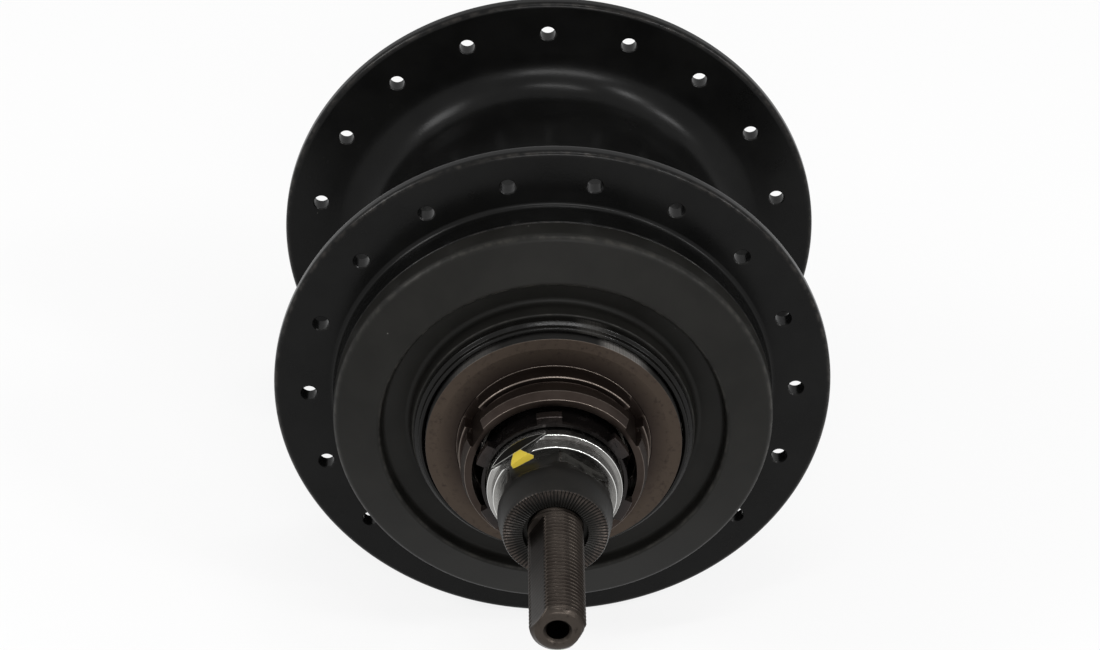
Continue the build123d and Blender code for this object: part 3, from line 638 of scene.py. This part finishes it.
# Painted shade: the wear attribute is -1 on the flat's floor, which darkens it here.
flat_floor_painted_shade = 0 - worn_edges(plated_place)
along_flat = plated_z * cos(FLAT_ANGLE) - plated_x * sin(FLAT_ANGLE)
outward = plated_x * cos(FLAT_ANGLE) + plated_z * sin(FLAT_ANGLE)
over_edge = outward + plated_y + (RING_FRONT - MIDDLE)
mark = (MIDDLE - FLAT_STATION - plated_y).ramp(0.0, 0.04)
for here, there in zip(MARK, np.roll(MARK, -1, 0)):
    out = np.array([there[1] - here[1], here[0] - there[0]]) / np.linalg.norm(there - here)
    across = (along_flat - float(here[0])) * float(out[0])
    inside = across + (over_edge - float(here[1])) * float(out[1])
    mark = (inside + 0.3 * (scuffs - 0.5)).ramp(-0.05, 0.05) * mark
plated_colour = streaks.over((0.032, 0.030, 0.028), (0.19, 0.186, 0.178))
plated_colour = side.over(plated_colour, (0.40, 0.395, 0.38))
plated_colour = (0.8 * left_face_painted_light).over(plated_colour, (0.34, 0.335, 0.32))
plated_colour = edge_polish_and_sheen.over(plated_colour, (0.82, 0.82, 0.80))
plated_colour = flat_floor_painted_shade.over(plated_colour, (0.012, 0.0115, 0.011))
polished = 0.2 + 0.12 * scuffs - 0.06 * edge_polish_and_sheen
feed(
    plated_shader,
    Base_Color=mark.over(plated_colour, MARK_YELLOW),
    Metallic=1 - mark,
    Roughness=polished + 0.35 * mark + 0.4 * flat_floor_painted_shade.ramp(0.0, 1.0),
    Normal=relief(lathe_lines + 0.5 * scuffs + 2.0 * mark, 0.012),
)
plated_outline, plated_wear_and_light = rounded(
    (CONE_FRONT, AXLE_BORE, 0.1),
    (CONE_FRONT, RING_RADIUS, 0.25),
    (FLAT_STATION, RING_RADIUS, 0.0),
    (60.0, RING_RADIUS, 0.18),
    (60.3, 11.25, 0.3),
    (RING_FRONT, 11.08, 0.18),
    (RING_FRONT, AXLE_BORE, 0.1),
)
# The row at the flat's station is repeated three times, for the step down to the flat.
floor_row = int(np.flatnonzero(plated_outline[:, 0] == FLAT_STATION)[0])
plated_outline = np.insert(plated_outline, floor_row, [plated_outline[floor_row]] * 3, 0)
plated_wear_and_light = np.insert(plated_wear_and_light, floor_row, [0.0] * 3)[:, None] + 0 * fine_steps
per_reach = 1 / np.maximum(np.cos(fine_steps), 0.01)
to_flat, to_foot = FLAT_REACH * per_reach, (FLAT_REACH + FOOT_ROOM) * per_reach
plated_reach = plated_outline[:, 1:] + 0 * fine_steps
cut_away = plated_reach > to_flat
edge, top_of_step, foot_of_step = plated_reach[floor_row], floor_row + 1, floor_row + 2
plated_reach[top_of_step] = np.maximum(edge - EDGE_BREAK, np.minimum(edge, to_flat))
plated_reach[foot_of_step] = np.minimum(edge, to_foot)
plated_reach[floor_row + 3:] = np.minimum(plated_reach[floor_row + 3:], to_flat)
# Wear on the step's two edges, and -1 on its two floor rows for the painted shade on the flat's floor.
step_wear_and_shade = np.array([[0.9], [-1.0], [-1.0], [0.8]])
plated_wear_and_light[floor_row:floor_row + 4] = step_wear_and_shade * cut_away[floor_row]
# The flat's wall gets wear of at least 0.55, which lightens it as a painted reflection.
flat_wall_painted_sheen = cut_away & (plated_outline[:, :1] > FLAT_STATION)
plated_wear_and_light = np.where(flat_wall_painted_sheen, np.maximum(plated_wear_and_light, 0.55), plated_wear_and_light)
plated_grid = placed(plated_outline[:, None, 0], plated_reach, FLAT_ANGLE + fine_steps)
stop_ring = woven(plated_grid, plated_wear_and_light)
make_piece("stop_ring", "axle", "alignment_ring", "plated_steel", plated, stop_ring)

# Right locknut
# A blackened steel nut. Its round collar ends in a ring of radial teeth that bite on the
# frame, with the black worn off their outer ends.
HEX_FLATS, HEX_TURN = 18.0, radians(24.6)
HEX_CORNER = HEX_FLATS / sqrt(3)
HEX_START, HEX_END, BASE_CHAMFER = RING_FRONT, 65.3, 0.3
COLLAR_RADIUS, NUT_FACE, MOUTH_RADIUS, MOUTH_DEPTH = 10.3, 73.0, 5.7, 1.6
FACE_TEETH, TOOTH_HEIGHT = 84, 0.2


def hex_reach(angle, flats, turn):
    """How far a hexagon reaches at an angle: half its width over the cosine of the angle
    from the middle of the nearest flat. Its first corner is at the turn."""
    from_flat = (angle - turn) % radians(60) - radians(30)
    return flats / 2 / np.cos(from_flat)


def blackened_steel(name, black, grey, bright):
    """Steel with a thin black oxide, greyer where hands have been, and bare on worn edges. The
    hexagon's right side is lighter and smoother, as a painted reflection."""
    material, shader, place = new_finish(name, Specular_IOR_Level=0.3)
    x, y, _ = coordinates(place)
    hexagon_end = MIDDLE - HEX_END
    on_hexagon = y.ramp(hexagon_end, hexagon_end + 0.1) * (1 - y.ramp(-1.0, 1.0))
    # A painted reflection: the hexagon's flats on the right are lighter, and smoother too.
    right_hex_painted_reflection = x.ramp(0.4, 0.9) * on_hexagon
    patches = clouds(place, 4.0, 4.0)
    grain = clouds(place, 0.35, 2.0)
    rub = (worn_edges(place) * (0.35 + clouds(place, 0.8, 3.0))).ramp(0.3, 0.85)
    colour = patches.ramp(0.35, 0.65).over(black, grey)
    colour = (0.7 * right_hex_painted_reflection * patches.ramp(0.35, 0.55)).over(colour, (0.085, 0.083, 0.076))
    feed(
        shader,
        Base_Color=(rub * 0.85).over(colour, bright),
        Roughness=0.4 + 0.25 * (patches - 0.5) - 0.1 * rub - 0.22 * right_hex_painted_reflection,
        Metallic=0.55 + 0.4 * rub,
        Normal=relief(grain + patches, 0.015),
    )
    return material


nut_black = blackened_steel(
    "nut_black",
    black=(0.0052, 0.0048, 0.0040),
    grey=(0.0082, 0.0074, 0.0062),
    bright=(0.062, 0.051, 0.045),
)
points_per_tooth = 6
nut_points = FACE_TEETH * points_per_tooth
nut_angles = HEX_TURN + np.arange(nut_points) * 2 * pi / nut_points
hexagon = hex_reach(nut_angles, HEX_FLATS, HEX_TURN)
base_edge = HEX_START + np.maximum(hexagon - HEX_CORNER + BASE_CHAMFER, 0)
corner_wear = np.clip((hexagon - 10.05) / 0.34, 0, 1) * 0.8
tooth = np.abs((nut_angles * FACE_TEETH / (2 * pi)) % 1 * 2 - 1)
tooth = np.clip(tooth * 1.3 - 0.15, 0, 1)
face_radii = np.array([9.25, 9.1, 8.6, 7.4, 6.2, 5.85])[:, None]
valley = np.clip((9.4 - face_radii) / 0.25, 0, 1) * TOOTH_HEIGHT
face_stations = NUT_FACE - valley * (1 - tooth)
face_wear = (0.45 + 0.55 * tooth) * np.clip((face_radii - 5.6) / 3.0, 0.35, 1)
level = 0 * nut_angles
shoulder = np.minimum(hexagon * 1.05, COLLAR_RADIUS)
beside_flat = np.clip((COLLAR_RADIUS + 0.1 - hexagon) / 0.2, 0, 1)
nut_rows = [
    (HEX_START + level, AXLE_BORE + level, level),
    (HEX_START + level, np.minimum(hexagon, HEX_CORNER - BASE_CHAMFER), 0.4 + level),
    (base_edge, hexagon, np.maximum(corner_wear, 0.3)),
    (base_edge + 0.25, hexagon, corner_wear),
    (HEX_END + level, hexagon, corner_wear),
    (HEX_END + 0.1 + level, shoulder - 0.12, level),
    (HEX_END + 0.2 + level, shoulder, 0.95 * beside_flat),
    (HEX_END + 0.35 + level, shoulder, level),
    (66.9 + level, COLLAR_RADIUS - 0.03 + level, level),
    (67.4 + level, COLLAR_RADIUS + level, level),
    (68.8 + level, 10.16 + level, level),
    (70.6 + level, 9.86 + level, level),
    (72.0 + level, 9.58 + level, level),
    (72.7 + level, 9.4 + level, 0.5 * tooth),
    *zip(face_stations, face_radii + level, face_wear),
    (NUT_FACE - 0.7 + level, MOUTH_RADIUS + level, level),
    (NUT_FACE - MOUTH_DEPTH + level, MOUTH_RADIUS + level, level),
    (NUT_FACE - MOUTH_DEPTH + level, AXLE_BORE + level, level),
]
nut_stations, nut_reach, nut_wear = (np.array(values) for values in zip(*nut_rows))
nut = woven(placed(nut_stations, nut_reach, nut_angles), nut_wear)
make_piece("frame_nut", "axle", "right_locknut", "nut_black", nut_black, nut)

# Axle
# A steel axle, oily and brown, with a fine thread at both ends. Two flats along each end
# keep it from turning in the frame, and the ends have the lathe's centre holes.
LEFT_END, RIGHT_END = -90.0, 101.0
FLAT_LENGTH, ACROSS_FLATS = 28.0, 8.0
FLAT_NORMAL = radians(147.0)
THREAD_CREST, THREAD_DEPTH, THREAD_PITCH = 4.95, 0.5, 1.0
END_CHAMFER = 1.2
AXLE_BODY = 6.0


def thread_reach(station, angle):
    """A single thread: the radius falls from crest to root and back once in each pitch, and
    the pattern moves one pitch along the axle in each turn."""
    phase = (station / THREAD_PITCH - angle / (2 * pi)) % 1
    return THREAD_CREST - THREAD_DEPTH * np.clip(1.3 * np.abs(2 * phase - 1) - 0.15, 0, 1)


axle_angles = np.arange(96) * 2 * pi / 96
all_round = 0 * axle_angles
# The end's rows, from the bottom of the centre hole out to the flat end: the radius, and how
# far in from the end.
end_rows = np.array([(0.0, 8.5), (2.0, 7.5), (2.0, 0.5), (2.5, 0.0), (2.9, 0.0)])
# The rows between the threads: the station and the radius.
middle_rows = np.array([
    (-60.9, THREAD_CREST),
    (-47.5, THREAD_CREST),
    (-43.6, THREAD_CREST),
    (-43.5, AXLE_BODY),
    (-43.0, AXLE_BODY),
    (44.0, AXLE_BODY),
    (44.4, AXLE_BODY),
    (44.5, THREAD_CREST),
    (50.0, THREAD_CREST),
    (71.9, THREAD_CREST),
])
thread_step = THREAD_PITCH / 8
left_thread = np.arange(LEFT_END + thread_step, -61.0, thread_step)[:, None] + all_round
right_thread = np.arange(72.0, RIGHT_END - 1e-6, thread_step)[:, None] + all_round
left_limit = THREAD_CREST - END_CHAMFER + np.abs(left_thread - LEFT_END)
right_limit = THREAD_CREST - END_CHAMFER + np.abs(right_thread - RIGHT_END)
axle_stations = np.concatenate((
    LEFT_END + end_rows[:, 1:] + all_round,
    left_thread,
    middle_rows[:, :1] + all_round,
    right_thread,
    RIGHT_END - end_rows[::-1, 1:] + all_round,
))
axle_reach = np.concatenate((
    end_rows[:, :1] + all_round,
    np.minimum(thread_reach(left_thread, axle_angles), left_limit),
    middle_rows[:, 1:] + all_round,
    np.minimum(thread_reach(right_thread, axle_angles), right_limit),
    end_rows[::-1, :1] + all_round,
))
axle_grid = placed(axle_stations, axle_reach, axle_angles)
flat_normal = np.array([cos(FLAT_NORMAL), 0.0, sin(FLAT_NORMAL)])
has_flats = (axle_stations > RIGHT_END - FLAT_LENGTH) | (axle_stations < LEFT_END + FLAT_LENGTH)
from_axis = axle_grid @ flat_normal
half_flats = ACROSS_FLATS / 2000
over_flat = (from_axis - np.clip(from_axis, -half_flats, half_flats)) * has_flats
axle_grid = axle_grid - over_flat[..., None] * flat_normal
crests = np.clip((axle_reach - THREAD_CREST + 0.16) / 0.16, 0, 1) * has_flats
from_end = np.minimum(np.abs(axle_stations - RIGHT_END), np.abs(axle_stations - LEFT_END))
near_end = np.clip(1 - from_end / 1.6, 0, 1)
axle_wear = np.maximum(crests * 0.5, near_end) * (axle_reach > 2.2)
axle_steel = turned_steel(
    "axle_steel",
    colour=(0.021, 0.0175, 0.015),
    stain=(0.013, 0.0105, 0.009),
    bright=(0.056, 0.047, 0.040),
    roughness=0.38,
)
axle = woven(axle_grid, axle_wear, rows_meet=False)
make_piece("hub_axle", "axle", "axle", "axle_steel", axle_steel, axle)

# Brake boss
# The left ball cup, pressed in the shell. The outside has 24 splines for a roller brake.
boss_steel = turned_steel(
    "boss_steel",
    colour=(0.11, 0.105, 0.10),
    stain=(0.05, 0.045, 0.04),
    bright=(0.28, 0.265, 0.245),
    roughness=0.36,
)
SPLINES, SPLINE_RADIUS, SPLINE_DEPTH = 24, 20.6, 1.0
BOSS_BORE, BALL_CUP = 15.0, 9.97
BOSS_END, SPLINE_START = -50.05, -38.05
boss_outline, boss_wear = rounded(
    (-31.55, BOSS_BORE, 0.2),
    (-31.55, 18.98, 0.2),
    (SHELL_LEFT_END, 18.98, 0.05),
    (SHELL_LEFT_END, 22.0, 0.3),
    (SPLINE_START, 22.0, 0.4),
    (SPLINE_START, SPLINE_RADIUS, 0.0),
    (BOSS_END, SPLINE_RADIUS, 0.4),
    (BOSS_END, BOSS_BORE, 0.3),
    (-42.85, BOSS_BORE, 0.1),
    (-42.85, BALL_CUP, 0.2),
    (-40.85, BALL_CUP, 0.2),
    (-40.85, BOSS_BORE, 0.1),
)
spline_points = SPLINES * 12
spline_angles = np.arange(spline_points) * 2 * pi / spline_points
groove = np.clip(np.sin(spline_angles * SPLINES + pi / 2) * 4 + 0.5, 0, 1)
boss_stations, boss_radii = boss_outline[:, :1], boss_outline[:, 1:]
on_spline = (boss_stations < -38.0) & (boss_radii > 18.0) & (boss_radii <= SPLINE_RADIUS)
boss_grid = placed(boss_stations, boss_radii - SPLINE_DEPTH * groove * on_spline, spline_angles)
boss = woven(boss_grid, boss_wear[:, None])
make_piece("brake_spline", "shell", "brake_boss", "boss_steel", boss_steel, boss)

# Left dust cap
# A thin pressed ring that closes the ball cup round the cone.
left_cap_outline, left_cap_wear = rounded(
    (-49.75, 12.46, 0.2),
    (-49.75, 14.98, 0.2),
    (-48.55, 14.98, 0.2),
    (-48.55, 12.46, 0.2),
)
left_cap = turned(left_cap_outline, left_cap_wear, fine_steps)
make_piece("left_cap_ring", "shell", "left_dust_cap", "boss_steel", boss_steel, left_cap)

# Left cone
# It is screwed on the axle to set the play of the left balls, with two flats for a spanner.
CONE_FLATS = 15.0
FLATS_START, CONE_END = -51.0, -55.0
left_cone_outline, left_cone_wear = rounded(
    (-41.35, AXLE_BORE, 0.1),
    (-41.35, 9.75, 0.2),
    (-45.9, 9.75, 0.1),
    (-48.1, 11.95, 0.2),
    (FLATS_START, 11.95, 0.3),
    (FLATS_START - 0.001, 9.0, 0.1),
    (CONE_END, 9.0, 0.3),
    (CONE_END, AXLE_BORE, 0.1),
)
left_cone = turned(left_cone_outline, left_cone_wear, fine_steps)
left_cone_grid = left_cone[0].reshape(len(left_cone_outline), len(fine_steps), 3)
flat_rows = left_cone_outline[:, 0] < FLATS_START - 0.0005
half_cone_flats = CONE_FLATS / 2000
across = left_cone_grid[flat_rows, :, 0]
left_cone_grid[flat_rows, :, 0] = np.clip(across, -half_cone_flats, half_cone_flats)
make_piece("brake_side_cone", "axle", "left_cone", "cone_steel", cone_steel, left_cone)

# Left lock washer and locknut
# The washer keeps the cone's setting while the nut is tightened.
WASHER_END, LEFT_NUT_FACE = -57.0, -62.0
LEFT_HEX_FLATS, FACE_CORNER = 17.0, 8.81
washer_outline, washer_wear = rounded(
    (WASHER_END, AXLE_BORE, 0.1),
    (WASHER_END, 9.5, 0.3),
    (CONE_END, 9.5, 0.3),
    (CONE_END, AXLE_BORE, 0.1),
)
washer = turned(washer_outline, washer_wear, fine_steps)
make_piece("left_washer", "axle", "left_lock_washer", "nut_black", nut_black, washer)

left_nut_angles = HEX_TURN + fine_steps
left_hexagon = hex_reach(left_nut_angles, LEFT_HEX_FLATS, HEX_TURN)
left_side = np.array([WASHER_END, -60.9, -61.2, -61.5, -61.8, LEFT_NUT_FACE])[:, None]
left_side_reach = np.minimum(left_hexagon, FACE_CORNER + left_side - LEFT_NUT_FACE)
left_stations = np.concatenate((left_side[:1], left_side, left_side[-1:]))
left_bore = np.full((1, len(fine_steps)), AXLE_BORE)
left_reach = np.concatenate((left_bore, left_side_reach, left_bore))
left_nut_wear = np.clip((left_reach - 9.4) / 0.4, 0, 0.8)
left_nut = woven(placed(left_stations, left_reach, left_nut_angles), left_nut_wear)
make_piece("left_nut", "axle", "left_locknut", "nut_black", nut_black, left_nut)

# Balls
# Polished steel balls in three rings: between the driver and the right cover, between the
# driver and the right cone, and between the brake boss and the left cone.
ball_steel, ball_shader, ball_place = new_finish("ball_steel", Metallic=1.0)
oil_film = clouds(ball_place, 1.5)
feed(
    ball_shader,
    Base_Color=oil_film.ramp(0.4, 0.7).over((0.75, 0.75, 0.76), (0.5, 0.46, 0.4)),
    Roughness=0.06 + 0.1 * oil_film,
)


def ball_ring(station, ring_radius, ball, count):
    """Balls of that diameter, spaced evenly round the axle. Each is a grid of latitude and
    longitude about its own centre, which lies on the ring."""
    latitude = np.linspace(-pi / 2, pi / 2, 13)[:, None]
    longitude = np.arange(20) * 2 * pi / 20
    girth = np.cos(latitude)
    surface = (girth * np.cos(longitude), girth * np.sin(longitude), np.sin(latitude))
    surface = np.broadcast_arrays(*surface)
    surface = np.stack(surface, -1) * ball / 2000
    centres = placed(station, ring_radius, np.arange(count) * 2 * pi / count)
    return [woven(centre + surface, rows_meet=False) for centre in centres]


outer_balls = ball_ring(station=33.67, ring_radius=24.02, ball=4.0, count=20)
driver_balls = ball_ring(station=46.03, ring_radius=12.685, ball=4.0, count=12)
left_balls = ball_ring(station=-45.28, ring_radius=12.57, ball=4.8, count=10)
make_piece("outer_ball_ring", "shell_ball_set", "shell_balls", "ball_steel", ball_steel, *outer_balls)
make_piece("driver_ball_ring", "driver_ball_set", "driver_balls", "ball_steel", ball_steel, *driver_balls)
make_piece("left_ball_ring", "left_ball_set", "left_balls", "ball_steel", ball_steel, *left_balls)

# Gear train, clutch and ball cages
# These are inside the closed shell. The gears are hobbed and ground steel with a film of
# oil, the carrier plates and clutch parts are machined, and the cages are pressed strip.
gear_steel = turned_steel(
    "gear_steel",
    colour=(0.42, 0.41, 0.39),
    stain=(0.22, 0.19, 0.15),
    bright=(0.7, 0.7, 0.68),
    roughness=0.24,
)
carrier_steel = turned_steel(
    "carrier_steel",
    colour=(0.33, 0.32, 0.31),
    stain=(0.17, 0.15, 0.13),
    bright=(0.6, 0.6, 0.58),
    roughness=0.32,
)
clutch_steel = turned_steel(
    "clutch_steel",
    colour=(0.45, 0.44, 0.42),
    stain=(0.25, 0.22, 0.18),
    bright=(0.7, 0.7, 0.68),
    roughness=0.2,
)
cage_steel = turned_steel(
    "cage_steel",
    colour=(0.35, 0.33, 0.30),
    stain=(0.18, 0.15, 0.12),
    bright=(0.6, 0.58, 0.55),
    roughness=0.35,
)
PLANETS = ("planet_gear_1", "planet_gear_2", "planet_gear_3")
INNER_PIECES = {
    gear_steel: ("fixed_sun_gear", "free_sun_gear", "ring_gear", *PLANETS),
    carrier_steel: ("carrier_left_plate", "carrier_right_plate", "planet_pins"),
    clutch_steel: ("clutch_cam", "clutch_rollers", "clutch_race", "roller_cage"),
    cage_steel: ("shell_ball_cage", "driver_ball_cage", "left_ball_cage"),
}
for finish, nodes in INNER_PIECES.items():
    for node in nodes:
        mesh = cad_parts[node].data
        mesh.materials.clear()
        mesh.materials.append(finish)

# Floor, light and camera
# The hub stands on its flanges on a white table. A wide soft light is behind the camera, and
# others are above the hub, on both its sides and at the camera's right.
FLOOR, TABLE_REACH, TABLE_WHITE = cad_low.z, 6.0, (0.95, 0.95, 0.95, 1.0)
floor_finish, floor_shader, _ = new_finish("white_table", Base_Color=TABLE_WHITE, Roughness=0.9)
floor_mesh = bpy.data.meshes.new("table_top")
around = ((-1, -1), (1, -1), (1, 1), (-1, 1))
table_corners = [(x * TABLE_REACH, y * TABLE_REACH, FLOOR) for x, y in around]
floor_mesh.from_pydata(table_corners, [], [(0, 1, 2, 3)])
floor_mesh.materials.append(floor_finish)
table_top = bpy.data.objects.new("table_top", floor_mesh)
bpy.context.scene.collection.objects.link(table_top)


def seen_directly(tree):
    """1 for rays from the camera, from glossy surfaces and through clear ones, and 0 for the
    rays that light the hub."""
    camera_rays = Wire(tree.nodes.new("ShaderNodeLightPath").outputs["Is Camera Ray"])
    glossy_rays = Wire(camera_rays.socket.node.outputs["Is Glossy Ray"])
    clear_rays = Wire(camera_rays.socket.node.outputs["Is Transmission Ray"])
    other_rays = glossy_rays.math("MAXIMUM", glossy_rays, clear_rays)
    return camera_rays.math("MAXIMUM", camera_rays, other_rays)


WHITE = (1.0, 1.0, 1.0, 1.0)
WHITENESS, WORLD_LIGHT = 0.82, 0.45
in_view = seen_directly(floor_finish.node_tree)
glow = in_view.node("Emission", {}, {"Color": WHITE, "Strength": 1.0})
plain = Wire(floor_shader.outputs["BSDF"])
white = in_view.node("MixShader", {}, {0: in_view * WHITENESS, 1: plain, 2: glow})
floor_output = floor_finish.node_tree.nodes["Material Output"].inputs["Surface"]
floor_finish.node_tree.links.new(white.socket, floor_output)

world = bpy.data.worlds.new("studio")
bpy.context.scene.world = world
world.use_nodes = True
background = world.node_tree.nodes["Background"]
background.inputs["Color"].default_value = WHITE
strength = WORLD_LIGHT + (1 - WORLD_LIGHT) * seen_directly(world.node_tree)
world.node_tree.links.new(strength.socket, background.inputs["Strength"])

# The photograph's width, focal length and shift are in its own pixels, the distance in metres.
PHOTO_WIDTH, FOCAL_LENGTH, SHIFT = 1100.0, 4152.0, (-0.7, -19.5)
ELEVATION, AZIMUTH, ROLL = radians(33.40), radians(-0.83), radians(0.27)
DISTANCE = 0.7919
back = Vector((sin(AZIMUTH) * cos(ELEVATION), -cos(AZIMUTH) * cos(ELEVATION), sin(ELEVATION)))
sideways = Vector((cos(AZIMUTH), sin(AZIMUTH), 0.0))
upright = back.cross(sideways)
right = cos(ROLL) * sideways + sin(ROLL) * upright
up = cos(ROLL) * upright - sin(ROLL) * sideways
aim = Vector((0.0, MIDDLE / 1000, 0.0))


def soft_light(name, direction, width, height, power, distance=1.3):
    """A rectangular lamp that faces the hub from a distance in metres, with its width level."""
    lamp = bpy.data.lights.new(name, "AREA")
    lamp.shape, lamp.size, lamp.size_y, lamp.energy = "RECTANGLE", width, height, power
    holder = bpy.data.objects.new(name, lamp)
    bpy.context.scene.collection.objects.link(holder)
    direction = Vector(direction).normalized()
    holder.location = aim + direction * distance
    holder.rotation_mode = "QUATERNION"
    holder.rotation_quaternion = direction.to_track_quat("Z", "Y")


soft_light("front_light", (0.08, -0.86, 0.52), width=0.6, height=0.2, power=4.4)
soft_light("top_light", (0.08, -0.32, 1.0), width=0.5, height=0.06, power=2.6)
soft_light("left_light", (-1.0, -0.25, 0.7), width=0.4, height=0.4, power=5.0)
soft_light("right_light", (1.0, -0.4, 0.55), width=0.15, height=0.35, power=2.6)
soft_light("near_light", (0.56, -0.5, 0.66), width=0.2, height=0.1, power=2.2, distance=1.2)

lens = bpy.data.cameras.new("photo_lens")
lens.sensor_width = 36.0
lens.lens = lens.sensor_width * FOCAL_LENGTH / PHOTO_WIDTH
lens.shift_x, lens.shift_y = SHIFT[0] / PHOTO_WIDTH, SHIFT[1] / PHOTO_WIDTH
lens.clip_start, lens.clip_end = 0.05, 50.0
camera = bpy.data.objects.new("photo_camera", lens)
bpy.context.scene.collection.objects.link(camera)
turned_to = Matrix((right, up, back)).transposed().to_4x4()
camera.matrix_world = Matrix.Translation(aim + back * DISTANCE) @ turned_to
bpy.context.scene.camera = camera
bpy.context.scene.view_settings.view_transform = "Standard"

bpy.context.view_layer.update()
